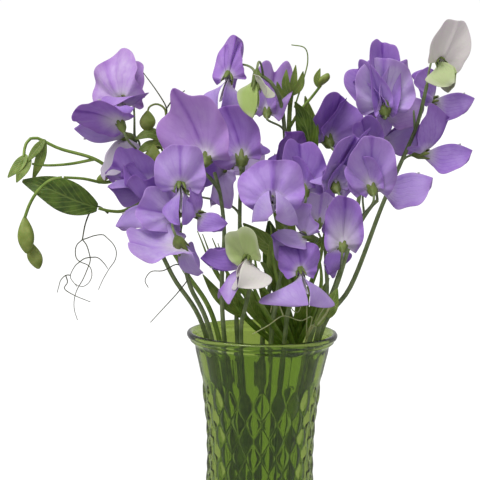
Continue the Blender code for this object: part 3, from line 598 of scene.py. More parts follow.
def leaf_finish(name, dark, light, rib):
    """Leaves and leaflets: mottled green with paler veins."""
    finish, tree, shader = new_finish(
        name, Roughness=0.42, Subsurface_Weight=0.12, Subsurface_Scale=0.001,
        Specular_IOR_Level=0.45)
    uv = wire(tree, "ShaderNodeUVMap", uv_map="leaf").outputs["UV"]
    veins = group(tree, "leaf", {"UV": uv, "Pairs": 4.0})
    mottle = group(tree, "mottle", {"Scale": 120.0, "Grain Scale": 1800.0})
    blade = ramp(tree, mottle.outputs["Patches"], [(0.3, dark), (0.7, light)])
    colour = mixed(tree, maths(tree, "MULTIPLY", veins.outputs["Veins"], 0.7), blade, rib)
    tree.links.new(colour, shader.inputs["Base Color"])
    height = maths(tree, "MULTIPLY_ADD", mottle.outputs["Grain"], 0.25, veins.outputs["Height"])
    bump(tree, shader, height, 0.5, 0.0004)
    return finish


def glass_finish(name, tint):
    """Yellow-green pressed glass with faint ripples."""
    finish, tree, shader = new_finish(
        name, Roughness=0.015, IOR=1.5, Transmission_Weight=1.0)
    mottle = group(tree, "mottle", {"Scale": 45.0, "Grain Scale": 400.0})
    colour = ramp(tree, mottle.outputs["Patches"],
                  [(0.3, tuple(part * 0.93 for part in tint[:3]) + (1.0,)), (0.7, tint)])
    tree.links.new(colour, shader.inputs["Base Color"])
    bump(tree, shader, mottle.outputs["Patches"], 0.12, 0.0006)
    return finish


FINISH = {
    "petal": petal_finish("petal", hue(204, 196, 208)),
    "young_petal": petal_finish("young_petal", hue(222, 216, 208)),
    "stalk": green_finish("stalk", hue(88, 106, 56), hue(148, 162, 114)),
    "calyx": green_finish("calyx", hue(84, 100, 36), hue(150, 164, 92)),
    "bud": green_finish("bud", hue(110, 130, 44), hue(178, 186, 108)),
    "shoot": green_finish("shoot", hue(92, 122, 34), hue(156, 180, 90)),
    "tendril": green_finish("tendril", hue(46, 50, 22), hue(84, 90, 48)),
    "pale_tendril": green_finish("pale_tendril", hue(150, 164, 96), hue(206, 210, 158)),
    "leaf": leaf_finish("leaf", hue(46, 70, 10), hue(88, 114, 30), hue(124, 146, 66)),
    "leaflet": leaf_finish("leaflet", hue(92, 118, 36), hue(136, 158, 70), hue(168, 182, 108)),
    "glass": glass_finish("green_glass", hue(184, 210, 100)),
}


# ---- mesh helpers -------------------------------------------------------------------------
def smooth_route(points, count):
    """Evenly spread points along a smooth curve through the given ones."""
    knots = [Vector(point) for point in points]
    ends = [knots[0] * 2 - knots[1], *knots, knots[-1] * 2 - knots[-2]]
    dense = []
    steps = 12
    for i in range(len(knots) - 1):
        a, b, c, d = ends[i:i + 4]
        for j in range(steps):
            t = j / steps
            dense.append(0.5 * (2 * b + (c - a) * t + (2 * a - 5 * b + 4 * c - d) * t * t
                                + (3 * b - a - 3 * c + d) * t ** 3))
    dense.append(knots[-1])
    run = [0.0]
    for here, there in zip(dense, dense[1:]):
        run.append(run[-1] + (there - here).length)
    route, k = [], 0
    for i in range(count):
        goal = run[-1] * i / (count - 1)
        while k < len(run) - 2 and run[k + 1] < goal:
            k += 1
        part = (goal - run[k]) / max(run[k + 1] - run[k], 1e-9)
        route.append(dense[k].lerp(dense[k + 1], min(part, 1.0)))
    return route


class Sheets:
    """Gathers open sheets, given as grids of points, into one mesh with UVs and bloom."""

    def __init__(self):
        self.points, self.faces, self.uvs, self.bloom = [], [], [], []

    def add(self, points, uv, bloom):
        """points, uv and bloom are (rows, columns) grids of 3, 2 and 4 numbers."""
        first = len(self.points)
        rows, columns = points.shape[:2]
        self.points += [tuple(p) for p in points.reshape(-1, 3)]
        self.uvs += [tuple(p) for p in uv.reshape(-1, 2)]
        self.bloom += [tuple(p) for p in bloom.reshape(-1, 4)]
        for i in range(rows - 1):
            for j in range(columns - 1):
                a = first + i * columns + j
                self.faces.append((a, a + 1, a + columns + 1, a + columns))

    def add_plain(self, points, uv):
        """A grid that takes no bloom, such as a leaf's."""
        self.add(points, uv, np.zeros((*points.shape[:2], 4)))

    def build(self, name, uv_name, finish, thickness):
        mesh = bpy.data.meshes.new(name)
        mesh.from_pydata([tuple(c * MM for c in p) for p in self.points], [], self.faces)
        layer = mesh.uv_layers.new(name=uv_name)
        corners = np.empty(len(mesh.loops), dtype=np.int32)
        mesh.loops.foreach_get("vertex_index", corners)
        layer.data.foreach_set("uv", np.array(self.uvs, dtype=np.float32)[corners].ravel())
        paint = mesh.attributes.new("bloom", "FLOAT_COLOR", "POINT")
        paint.data.foreach_set("color", np.array(self.bloom, dtype=np.float32).ravel())
        mesh.materials.append(finish)
        mesh.shade_smooth()
        obj = bpy.data.objects.new(name, mesh)
        bpy.context.scene.collection.objects.link(obj)
        wall = obj.modifiers.new("wall", "SOLIDIFY")
        wall.thickness = thickness * MM
        wall.offset = 0.0
        round_off = obj.modifiers.new("round", "SUBSURF")
        round_off.levels = round_off.render_levels = 1
        return obj


def settle(obj):
    """Applies an object's modifiers, so that a plain mesh is left."""
    graph = bpy.context.evaluated_depsgraph_get()
    mesh = bpy.data.meshes.new_from_object(obj.evaluated_get(graph))
    mesh.name = obj.name
    obj.modifiers.clear()
    obj.data = mesh
    return obj


def smooth_step(value):
    """0 to 1 with a soft start and end."""
    value = np.clip(value, 0.0, 1.0)
    return value * value * (3 - 2 * value)


# ---- florets ------------------------------------------------------------------------------
STANDARD_SWEEP = 112.0      # the standard reaches this far round on each side of its middle
STANDARD_SCOOP = 0.06       # how far its side lobes come forward, of its width
STANDARD_ARCH = 0.12        # how far its top leans back, of its width
WING_HOOK = 0.04            # how far a wing's tip turns down, of the standard's width
KEEL_DEPTH = 0.15           # of the standard's width
CALYX_WIDTH = 38.0          # width of the floret that the calyx is drawn for


def floret_axes(name):
    """Right, forward and up of a floret, and the angle its standard stands at."""
    forward, rise = (Vector(way).normalized() for way in FLORETS[name][1:3])
    up = (rise - forward * rise.dot(forward)).normalized()
    return forward.cross(up), forward, up, forward.angle(rise)


def standard_petal(form, lift, chance):
    """The upright petal as a fan of rays from its claw, in widths: right, forward, up."""
    rays, rings = 41, 16
    sweep = math.radians(STANDARD_SWEEP + form.get("hang", 0))
    turn = sweep * np.linspace(-1, 1, rays)[None, :]
    part = np.linspace(0.03, 1.0, rings)[:, None]
    reach = 0.27 + 0.50 * np.cos(turn / 2.2) ** 4
    reach = reach + 0.05 * np.exp(-((np.abs(turn) - 0.62) / 0.3) ** 2)
    reach = reach - form.get("notch", 0.05) * np.exp(-(turn / 0.16) ** 2)
    reach = reach + form.get("tip", 0.0) * np.exp(-(turn / 0.16) ** 2)
    reach = reach * (1 + 0.05 * np.sin(4 * turn + chance[0]) + 0.025 * np.sin(9 * turn + chance[1]))
    span = part * reach
    across, along = span * np.sin(turn), span * np.cos(turn) * form.get("tall", 1.0)
    uneven = 1 + 0.35 * np.sin(chance[6]) * np.sign(turn)
    fold = math.radians(form["fold"]) * uneven * smooth_step(span / 0.25)
    side = np.sqrt(across ** 2 + 0.03 ** 2) - 0.03
    out = -side * np.sin(fold) + form["cup"] * 2 * across ** 2
    lobes = smooth_step((np.abs(turn) - 0.4) / 0.9)
    out = out - form["curl"] * smooth_step((part - 0.45) / 0.55) * np.cos(turn / 2)
    out = out + STANDARD_SCOOP * lobes * smooth_step((part - 0.45) / 0.55)
    out = out - STANDARD_ARCH * np.maximum(along, 0) ** 2
    waves = (0.8 * np.sin(4.3 * turn + chance[2]) + 0.5 * np.sin(8.1 * turn + chance[3])
             + 0.22 * np.sin(15 * turn + chance[4]))
    out = out + 1.5 * form["frill"] * waves * part ** 1.8
    out = out + 0.035 * np.sin(2.7 * turn + 3 * part + chance[5]) * part
    crease = np.exp(-(across / 0.03) ** 2)
    out = out + form.get("crease", 0.03) * crease * smooth_step(span / 0.3)
    pleats = np.sin(13 * turn + 4 * part + chance[7]) * np.sin(5 * part + chance[8])
    out = out + 0.006 * pleats * part
    out = out - 0.10 * np.exp(-(span / 0.07) ** 2)
    sideways = across * np.cos(fold * 0.9)
    forward = along * math.cos(lift) + out * math.sin(lift)
    upward = along * math.sin(lift) - out * math.cos(lift)
    points = np.stack([sideways, forward + 0.02, upward], axis=-1)
    uv = np.stack([turn / sweep * 0.5 + 0.5 + 0 * part, part + 0 * turn], axis=-1)
    claw = 1 - smooth_step((span - 0.05) / form.get("claw", 0.24))
    margin = smooth_step((part - 0.70) / 0.30)
    # painted shade: the tone deepens along the crease down the middle of the standard
    painted_shade = crease * 0.35
    return points, uv, (claw + 0 * turn, margin + 0 * turn, painted_shade)


def wing_petal(form, chance, hand):
    """One wing as rows from its claw to its tip, in widths."""
    rows, columns = 18, 12
    f = np.linspace(0.0, 1.0, rows)[:, None]
    g = np.linspace(0.0, 1.0, columns)[None, :]
    length, depth = form["wing"]
    breadth = depth * np.maximum(np.sin(math.pi * (0.03 + 0.94 * f ** 0.85)) ** 0.55, 0.10)
    breadth = breadth * (0.35 + 0.65 * smooth_step(f / 0.40))
    ridge_out = length * (0.04 + 0.96 * f)
    ridge_up = 0.02 + form.get("wing_rise", 0.16) * np.sin(2.6 * f) - 0.10 * f * f
    near, far = (math.radians(angle) for angle in form["spread"])
    opening = smooth_step(f / 0.35)
    angle = (near + (far - near) * g ** 0.8) * opening
    step = breadth / (columns - 1)
    out = np.cumsum(np.sin(angle) * step, axis=1) - np.sin(angle[:, :1]) * step
    drop = np.cumsum(np.cos(angle) * step, axis=1) - np.cos(angle[:, :1]) * step
    wave = form["frill"] * opening * g ** 1.6 * (1.1 * np.sin(5.5 * f + chance[0])
                                                 + 0.5 * np.sin(11 * f + chance[1]))
    out = out + wave + 0.012 + 0.03 * np.sin(math.pi * f)
    out = out + 0.02 * np.sin(6 * f + 5 * g + chance[2]) * opening
    drop = drop + 0.5 * wave
    hook = WING_HOOK * smooth_step((f - 0.6) / 0.4)
    points = np.stack([hand * out, ridge_out - 0.10 * g * length + 0 * out,
                       ridge_up - drop - hook], axis=-1)
    uv = np.stack([0.2 + 0.6 * g + 0 * f, f + 0 * g], axis=-1)
    claw = 1 - smooth_step((f - 0.05) / 0.34) + 0 * g
    margin = np.maximum(smooth_step((g - 0.7) / 0.3), smooth_step((f - 0.8) / 0.2))
    # the third mask is painted shade, deepening the tone toward the wing's inner edge beside the
    # keel
    return points, uv, (claw, margin + 0 * f, 0.12 * (1 - g) + 0 * f)


def keel_petal(form):
    """The keel: a folded boat between the wings, in widths."""
    rows, columns = 11, 9
    f = np.linspace(0.0, 1.0, rows)[:, None]
    c = np.linspace(-1.0, 1.0, columns)[None, :]
    length = form["wing"][0] * 0.78
    deep = KEEL_DEPTH * np.sin(math.pi * (0.06 + 0.90 * f)) ** 0.8
    half = 0.06 * np.sin(math.pi * (0.05 + 0.92 * f ** 0.9)) ** 0.7
    across = half * np.sin(c * math.pi / 2) * (1 - 0.55 * np.abs(c) ** 3)
    base = 0.02 + 0.06 * np.sin(2.2 * f) - 0.03 * f + 0.10 * f ** 4
    up = base - deep * np.cos(c * math.pi / 2)
    points = np.stack([across, length * (0.02 + 0.98 * f) + 0 * c, up], axis=-1)
    uv = np.stack([0.5 + 0.2 * c + 0 * f, f + 0 * c], axis=-1)
    return points, uv


def placed(points, throat, axes, width):
    """Turns points in widths into the frame's millimetres."""
    right, forward, up = (np.array(axis) for axis in axes)
    local = points[..., :1] * right + points[..., 1:2] * forward + points[..., 2:] * up
    return np.array(throat) + local * width


def bloom_of(masks, tone, pale, warm, green=0.0):
    """The four painted channels of a petal: tone, pale, warm and green; tone also takes painted
    shade.
    """
    claw, margin, painted_shade = masks
    # painted shade in the standard's crease and beside the keel deepens the tone
    tone = tone + 0.14 * margin + painted_shade - 0.05
    white = np.clip(np.maximum(claw * 0.9, pale) - 0.3 * margin * (1 - pale), 0, 1)
    pink = warm * (1 - 0.5 * claw) + 0.2 * margin
    lime = green * (1 - 0.25 * margin) + 0 * claw
    return np.clip(np.stack([tone, white, pink, lime], axis=-1), 0, 1)


def make_petals(name):
    """The standard with its extra folds, two wings and the keel of one floret."""
    throat, _, _, width, form_name, special = FLORETS[name]
    form = {**FORMS[form_name], **special}
    chance = np.random.default_rng(int(name[-2:])).uniform(0, math.tau, 16)
    *axes, lift = floret_axes(name)
    tone, pale, warm = form["tone"], form.get("pale", 0.0), form.get("warm", 0.1)
    sheets = Sheets()
    lobes = ((0, 0, 1.0, form.get("tall", 1.0), form["fold"], 0.0),) + form.get("lobes", ())
    for order, (roll, lean, size, tall, fold, deeper) in enumerate(lobes):
        shape = {**form, "tall": tall, "fold": fold}
        points, uv, masks = standard_petal(shape, lift + math.radians(lean), np.roll(chance, order))
        spin = Quaternion(axes[1], math.radians(roll))
        turned = [axes[1].cross(spin @ axes[2]), axes[1], spin @ axes[2]]
        sheets.add(placed(points, throat, turned, width * size), uv,
                   bloom_of(masks, tone + deeper, pale, warm, form.get("green", 0.0)))
    wing_bloom = (tone + form.get("wing_tone", -0.05), pale + form.get("wing_pale", 0.0),
                  form.get("wing_warm", 0.0), form.get("wing_green", 0.0))
    for hand in (-1, 1):
        points, uv, masks = wing_petal(form, chance[9:] + hand, hand)
        sheets.add(placed(points, throat, axes, width), uv, bloom_of(masks, *wing_bloom))
    points, uv = keel_petal(form)
    none = np.zeros(points.shape[:2])
    sheets.add(placed(points, throat, axes, width), uv,
               bloom_of((none, none, none), 0.15, 0.85, 0.0, form.get("keel_green", 0.15)))
    slots = {piece["node"]: piece["material_slot"] for piece in frame["record"]["subparts"]}
    obj = settle(sheets.build(f"{name}_petals", "petal", FINISH[slots[name]], PETAL_SHEET))
    finish_piece(obj, name)


def make_calyx(name):
    """The green cup with its five pointed teeth."""
    throat, _, _, width, _, special = FLORETS[name]
    right, forward, up = (np.array(axis) for axis in floret_axes(name)[:3])
    rings, around = 10, 40
    scale = min(max(width / CALYX_WIDTH, 0.7), 1.05)
    v = np.linspace(0, 1, rings)[:, None]
    a = np.linspace(0, math.tau, around + 1)[None, :]
    teeth = np.abs(np.cos(2.5 * a)) ** 1.6
    reach = CALYX_LENGTH * (v * (0.86 + special.get("teeth", 0.70) * teeth * v ** 2))
    radius = scale * (1.0 + 2.6 * smooth_step(v / 0.6)
                      + special.get("flare", 1.4) * smooth_step((v - 0.6) / 0.4) * teeth)
    squash = 1 - 0.25 * smooth_step((v - 0.7) / 0.3) * (1 - teeth)
    local = (radius * squash * np.cos(a))[..., None] * right \
        + (radius * squash * np.sin(a))[..., None] * up \
        + (reach - CALYX_LENGTH)[..., None] * forward
    points = np.array(throat) + local
    sheets = Sheets()
    uv = np.stack([a / math.tau + 0 * v, v + 0 * a], axis=-1)
    sheets.add_plain(points, uv)
    obj = sheets.build(f"{name}_calyx", "petal", FINISH["calyx"], CALYX_SHEET)
    close_seams(obj)
    finish_piece(settle(obj), name)


def close_seams(obj, foot_only=True):
    """Merges the seam of a turned sheet, then closes its foot, or both its ends."""
    shell = bmesh.new()
    shell.from_mesh(obj.data)
    bmesh.ops.remove_doubles(shell, verts=shell.verts, dist=1e-6)
    rims = [edge for edge in shell.edges if edge.is_boundary]
    if foot_only:
        first = min(rims, key=lambda edge: edge.verts[0].index + edge.verts[1].index)
        foot, grown = {first}, True
        while grown:
            ends = {vert for edge in foot for vert in edge.verts}
            more = {edge for edge in rims if ends & set(edge.verts)}
            grown = not more <= foot
            foot |= more
        rims = list(foot)
    bmesh.ops.holes_fill(shell, edges=rims, sides=0)
    bmesh.ops.recalc_face_normals(shell, faces=shell.faces)
    shell.to_mesh(obj.data)
    shell.free()
    obj.data.shade_smooth()


# ---- stalks -------------------------------------------------------------------------------
def stalk_tree():
    """Geometry nodes that skin every route of a curve, closed at both ends."""
    tree = bpy.data.node_groups.new("stalk_skin", "GeometryNodeTree")
    face = tree.interface
    face.new_socket("Geometry", in_out="INPUT", socket_type="NodeSocketGeometry")
    for label, kind, value in (("Step", "NodeSocketFloat", 0.0016),
                               ("Sides", "NodeSocketInt", 10)):
        face.new_socket(label, in_out="INPUT", socket_type=kind).default_value = value
    face.new_socket("Finish", in_out="INPUT", socket_type="NodeSocketMaterial")
    face.new_socket("Geometry", in_out="OUTPUT", socket_type="NodeSocketGeometry")
    source, sink = tree.nodes.new("NodeGroupInput"), tree.nodes.new("NodeGroupOutput")
    even = wire(tree, "GeometryNodeResampleCurve",
                {"Curve": source.outputs["Geometry"], "Length": source.outputs["Step"]},
                mode="LENGTH")
    where = wire(tree, "GeometryNodeSplineParameter")
    run = wire(tree, "GeometryNodeStoreNamedAttribute",
               {"Geometry": even.outputs["Curve"], "Name": "run",
                "Value": where.outputs["Length"]}, data_type="FLOAT", domain="POINT")
    ring = wire(tree, "GeometryNodeCurvePrimitiveCircle",
                {"Resolution": source.outputs["Sides"], "Radius": 1.0}, mode="RADIUS")
    around = wire(tree, "GeometryNodeSplineParameter")
    turn = wire(tree, "GeometryNodeStoreNamedAttribute",
                {"Geometry": ring.outputs["Curve"], "Name": "turn",
                 "Value": around.outputs["Factor"]}, data_type="FLOAT", domain="POINT")
    skin = wire(tree, "GeometryNodeCurveToMesh",
                {"Curve": run.outputs["Geometry"], "Profile Curve": turn.outputs["Geometry"],
                 "Fill Caps": True})
    if "Scale" in skin.inputs:
        radius = wire(tree, "GeometryNodeInputRadius")
        tree.links.new(radius.outputs[0], skin.inputs["Scale"])
    smooth = wire(tree, "GeometryNodeSetShadeSmooth", {"Geometry": skin.outputs["Mesh"]})
    real = wire(tree, "GeometryNodeRealizeInstances", {"Geometry": smooth.outputs["Geometry"]})
    finish = wire(tree, "GeometryNodeSetMaterial",
                  {"Geometry": real.outputs["Geometry"], "Material": source.outputs["Finish"]})
    tree.links.new(finish.outputs["Geometry"], sink.inputs["Geometry"])
    return tree


STALK_TREE = stalk_tree()


def set_inputs(modifier, **values):
    """Sets a nodes modifier's inputs by their sockets' identifiers."""
    sockets = {item.name: item.identifier for item in modifier.node_group.interface.items_tree
               if item.item_type == "SOCKET" and item.in_out == "INPUT"}
    for label, value in values.items():
        modifier[sockets[label]] = value


def skin_routes(name, routes, finish, sides=10):
    """Skins (points, radii) routes as one mesh object; radii run evenly along each route."""
    curve = bpy.data.curves.new(f"{name}_routes", "CURVE")
    curve.dimensions = "3D"
    for points, radii in routes:
        spline = curve.splines.new("POLY")
        spline.points.add(len(points) - 1)
        for i, (knot, place) in enumerate(zip(spline.points, points)):
            part = i / (len(points) - 1)
            knot.co = (*(Vector(place) * MM), 1.0)
            knot.radius = float(np.interp(part, np.linspace(0, 1, len(radii)), radii)) * MM
    carrier = bpy.data.objects.new(f"{name}_carrier", curve)
    bpy.context.scene.collection.objects.link(carrier)
    nodes = carrier.modifiers.new("skin", "NODES")
    nodes.node_group = STALK_TREE
    set_inputs(nodes, Sides=sides, Finish=finish)
    graph = bpy.context.evaluated_depsgraph_get()
    mesh = bpy.data.meshes.new_from_object(carrier.evaluated_get(graph))
    bpy.data.objects.remove(carrier, do_unlink=True)
    mesh.name = name
    obj = bpy.data.objects.new(name, mesh)
    bpy.context.scene.collection.objects.link(obj)
    return obj


def finish_piece(obj, node):
    """Hides the frame's node that a piece stands in for, and puts the piece on its body."""
    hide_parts(node)
    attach(obj, "root")


def stalk_route(mouth, above):
    """From the cut end on the vase floor, through waist and mouth, along the route above."""
    x, y = mouth
    foot = (x * FOOT_GATHER, y * FOOT_GATHER, FLOOR_THICKNESS + SEAT_GAP)
    waist = (x * WAIST_GATHER, y * WAIST_GATHER, WAIST_HEIGHT)
    return [foot, waist, (x, y, MOUTH_HEIGHT), *above]


def pedicel(route, floret):
    """The short stalk from a flower stem to the foot of a calyx."""
    throat = FLORETS[floret][0]
    forward = floret_axes(floret)[1]
    end = Vector(throat) - forward * (CALYX_LENGTH - 0.4)
    reach = end - forward * 8 - Vector((0, 0, 12))
    upper = route[len(route) * 6 // 10:]
    start = min(upper, key=lambda point: (point - reach).length)
    length = (end - start).length
    lead = start + Vector((0, 0, 1)) * length * 0.25 + (end - start) * 0.1
    brake = end - forward * length * 0.35
    points = []
    for i in range(15):
        t = i / 14
        points.append(start * (1 - t) ** 3 + lead * 3 * t * (1 - t) ** 2
                      + brake * 3 * t * t * (1 - t) + end * t ** 3)
    return points, (PEDICEL_RADIUS * 1.3, PEDICEL_RADIUS, PEDICEL_RADIUS, PEDICEL_RADIUS * 1.15)


def make_stem(name):
    """A flower stem with the short stalk of each of its florets."""
    mouth, above, florets = STEMS[name]
    route = smooth_route(stalk_route(mouth, above), 60)
    routes = [(route, STALK_RADIUS)]
    routes += [pedicel(route, floret) for floret in florets]
    finish_piece(skin_routes(name + "_stalk", routes, FINISH["stalk"]), name)


# ---- vase ---------------------------------------------------------------------------------
def diamond_tree():
    """Geometry nodes that raise staggered almond-shaped diamonds on a turned vase."""
    tree = bpy.data.node_groups.new("pressed_diamonds", "GeometryNodeTree")
    face = tree.interface
    face.new_socket("Geometry", in_out="INPUT", socket_type="NodeSocketGeometry")
    for label in ("Around", "Pitch", "Width", "Height", "Relief", "Top", "Foot"):
        face.new_socket(label, in_out="INPUT", socket_type="NodeSocketFloat")
    face.new_socket("Finish", in_out="INPUT", socket_type="NodeSocketMaterial")
    face.new_socket("Geometry", in_out="OUTPUT", socket_type="NodeSocketGeometry")
    source, sink = tree.nodes.new("NodeGroupInput"), tree.nodes.new("NodeGroupOutput")
    size = source.outputs
    place = wire(tree, "ShaderNodeSeparateXYZ",
                 {"Vector": tree.nodes.new("GeometryNodeInputPosition").outputs[0]})
    turn = maths(tree, "ARCTAN2", place.outputs["Y"], place.outputs["X"])
    u = maths(tree, "MULTIPLY", maths(tree, "DIVIDE", turn, math.tau), size["Around"])
    v = maths(tree, "DIVIDE", maths(tree, "SUBTRACT", size["Top"], place.outputs["Z"]),
              size["Pitch"])
    heights = []
    for shift in (0.0, 0.5):
        across = maths(tree, "SUBTRACT", maths(tree, "FRACT", maths(tree, "ADD", u, shift)), 0.5)
        row = maths(tree, "ADD", v, shift)
        down = maths(tree, "SUBTRACT", maths(tree, "FRACT", row), 0.5)
        middle = maths(tree, "SUBTRACT", maths(tree, "ADD", maths(tree, "FLOOR", row), 0.5), shift)
        side = maths(tree, "POWER", maths(tree, "ABSOLUTE", maths(
            tree, "DIVIDE", across, maths(tree, "MULTIPLY", size["Width"], 0.5))), 1.5)
        rise = maths(tree, "POWER", maths(tree, "ABSOLUTE", maths(
            tree, "DIVIDE", down, maths(tree, "MULTIPLY", size["Height"], 0.5))), 1.25)
        left = maths(tree, "SUBTRACT", 1.0, maths(tree, "ADD", side, rise))
        dome = maths(tree, "POWER", maths(tree, "MAXIMUM", left, 0.0), 0.6)
        first = maths(tree, "GREATER_THAN", middle, 0.0)
        last = maths(tree, "LESS_THAN", maths(tree, "MULTIPLY", middle, size["Pitch"]),
                     maths(tree, "SUBTRACT", size["Top"], size["Foot"]))
        heights.append(maths(tree, "MULTIPLY", dome, maths(tree, "MULTIPLY", first, last)))
    dome = maths(tree, "MAXIMUM", *heights)
    wall = wire(tree, "GeometryNodeInputNamedAttribute", {"Name": "outer"}, data_type="FLOAT")
    lift = maths(tree, "MULTIPLY", maths(tree, "MULTIPLY", dome, size["Relief"]),
                 wall.outputs["Attribute"])
    normal = tree.nodes.new("GeometryNodeInputNormal").outputs[0]
    shift = wire(tree, "ShaderNodeVectorMath", {0: normal, "Scale": lift}, operation="SCALE")
    moved = wire(tree, "GeometryNodeSetPosition",
                 {"Geometry": size["Geometry"], "Offset": shift.outputs[0]})
    smooth = wire(tree, "GeometryNodeSetShadeSmooth", {"Geometry": moved.outputs["Geometry"]})
    real = wire(tree, "GeometryNodeRealizeInstances", {"Geometry": smooth.outputs["Geometry"]})
    finish = wire(tree, "GeometryNodeSetMaterial",
                  {"Geometry": real.outputs["Geometry"], "Material": size["Finish"]})
    tree.links.new(finish.outputs["Geometry"], sink.inputs["Geometry"])
    return tree


def vase_outside(height, tall):
    """Outer radius of the vase body at a height: a waist, then a flare to the neck."""
    if height < WAIST_HEIGHT:
        part = 1 - height / WAIST_HEIGHT
        return WAIST_RADIUS + (FOOT_RADIUS - WAIST_RADIUS) * part ** 2
    part = (height - WAIST_HEIGHT) / (tall - LIP_HEIGHT - WAIST_HEIGHT)
    return WAIST_RADIUS + (NECK_RADIUS - WAIST_RADIUS) * part ** 1.9


def vase_profile(lip, tall):
    """Rings of (radius, height, outer wall) from the lip down the outside, then up the inside."""
    neck = tall - LIP_HEIGHT
    rings = [(lip - 2.6, tall - 0.1, 0), (lip - 1.5, tall, 0), (lip - 0.5, tall - 0.5, 0),
             (lip, tall - 1.5, 0), (lip - 0.1, tall - 2.7, 0), (lip - 0.7, tall - 3.8, 0),
             (lip - 1.6, tall - 4.5, 0), (lip - 2.2, tall - 5.0, 0), (lip - 2.1, tall - 5.6, 0),
             (lip - 2.3, tall - 6.2, 0), (lip - 3.1, tall - 6.8, 0),
             (lip - 3.9, neck - 0.6, 0)]
    rings += [(vase_outside(height, tall) - RELIEF_SINK, height, 1)
              for height in np.arange(neck - 2.0, 3.2, -FACET_STEP)]
    foot = vase_outside(0, tall)
    rings += [(foot - 0.2, 1.6, 0), (foot - 0.9, 0.5, 0), (foot - 2.2, 0.0, 0)]
    turn_round = len(rings)
    well = vase_outside(FLOOR_THICKNESS, tall) - GLASS
    rings += [(well - 5.0, FLOOR_THICKNESS, 0), (well - 1.6, FLOOR_THICKNESS + 1.2, 0),
              (well - 0.3, FLOOR_THICKNESS + 4, 0)]
    rings += [(vase_outside(height, tall) - GLASS, height, 0)
              for height in np.arange(FLOOR_THICKNESS + 8, neck - 1, 4.0)]
    rings += [(NECK_RADIUS - 2.6, neck + 0.6, 0), (lip - 5.2, neck + 3.2, 0),
              (lip - 4.2, tall - 1.6, 0), (lip - 3.5, tall - 0.5, 0)]
    return rings, turn_round


def make_vase():
    """Pressed glass: a turned body with a rolled lip, panels at its collar and raised diamonds."""
    low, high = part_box("vase")
    tall = (high[2] - low[2]) / MM
    rings, turn_round = vase_profile((high[0] - low[0]) / 2 / MM, tall)
    around = DIAMONDS_AROUND * FACETS_PER_DIAMOND
    turned = bmesh.new()
    loops = []
    for radius, height, outer in rings:
        loop = []
        for k in range(around):
            a = math.tau * k / around
            panel = COLLAR_RELIEF * outer * abs(math.sin(COLLAR_PANELS / 2 * a)) ** 0.5
            panel *= smooth_step((height - DIAMOND_TOP) / 6) * smooth_step((tall - 8 - height) / 6)
            reach = (radius + panel) * MM
            loop.append(turned.verts.new((reach * math.cos(a), reach * math.sin(a), height * MM)))
        loops.append(loop)
    pairs = [(i, i + 1) for i in range(len(loops) - 1) if i != turn_round - 1]
    for upper, lower in pairs + [(len(loops) - 1, 0)]:
        for k in range(around):
            j = (k + 1) % around
            turned.faces.new((loops[upper][k], loops[upper][j], loops[lower][j], loops[lower][k]))
    for loop, height in ((loops[turn_round - 1], 0.0), (loops[turn_round], FLOOR_THICKNESS)):
        hub = turned.verts.new((0, 0, height * MM))
        for k in range(around):
            turned.faces.new((hub, loop[k], loop[(k + 1) % around]))
    bmesh.ops.recalc_face_normals(turned, faces=turned.faces)
    mesh = bpy.data.meshes.new("vase_glass")
    turned.to_mesh(mesh)
    turned.free()
    outer = [flag for _, _, flag in rings for _ in range(around)] + [0, 0]
    mesh.attributes.new("outer", "FLOAT", "POINT").data.foreach_set("value", outer)
    obj = bpy.data.objects.new("vase_glass", mesh)
    bpy.context.scene.collection.objects.link(obj)
    press = obj.modifiers.new("press", "NODES")
    press.node_group = diamond_tree()
    set_inputs(press, Around=float(DIAMONDS_AROUND), Pitch=DIAMOND_PITCH * MM,
               Width=DIAMOND_WIDTH, Height=DIAMOND_HEIGHT / DIAMOND_PITCH,
               Relief=DIAMOND_RELIEF * MM, Top=DIAMOND_TOP * MM, Foot=DIAMOND_FOOT * MM,
               Finish=FINISH["glass"])
    finish_piece(settle(obj), "vase")


# ---- leaves, vines, buds and tendrils -------------------------------------------------------
def leaf_grid(midrib, width, up, rows=20, columns=8, cup=0.16, ripple=0.03, seed=1):
    """A pointed leaf on a curved midrib, its halves raised a little, its edge gently waved."""
    spine = smooth_route(midrib, rows + 1)
    chance = np.random.default_rng(seed).uniform(0, math.tau, 3)
    points = np.empty((rows + 1, columns + 1, 3))
    uv = np.empty((rows + 1, columns + 1, 2))
    for i, centre in enumerate(spine):
        t = i / rows
        along = (spine[min(i + 1, rows)] - spine[max(i - 1, 0)]).normalized()
        across = along.cross(Vector(up)).normalized()
        face = across.cross(along)
        half = width / 2 * max(math.sin(math.pi * (0.05 + 0.92 * t) ** 0.85), 0.05)
        for j in range(columns + 1):
            s = 2 * j / columns - 1
            wave = ripple * width * s * s * math.sin(9 * t + chance[0] + 2 * s)
            lift = cup * abs(s) ** 1.3 * half + wave
            points[i, j] = centre + across * half * s + face * lift
            uv[i, j] = (j / columns, t)
    return points, uv


def make_leaf(name, seed):
    """One large leaf."""
    midrib, width, up = LEAVES[name]
    sheets = Sheets()
    points, uv = leaf_grid(midrib, width, up, seed=seed)
    sheets.add_plain(points, uv)
    obj = settle(sheets.build(f"{name}_blade", "leaf", FINISH["leaf"], LEAF_SHEET))
    finish_piece(obj, name)


def make_leaflets(name, leaflets, node):
    """All the small leaves of one shoot."""
    sheets = Sheets()
    for seed, (midrib, width, up) in enumerate(leaflets):
        points, uv = leaf_grid(midrib, width, up, rows=12, columns=6, seed=seed)
        sheets.add_plain(points, uv)
    obj = settle(sheets.build(name, "leaf", FINISH["leaflet"], LEAFLET_SHEET))
    finish_piece(obj, node)


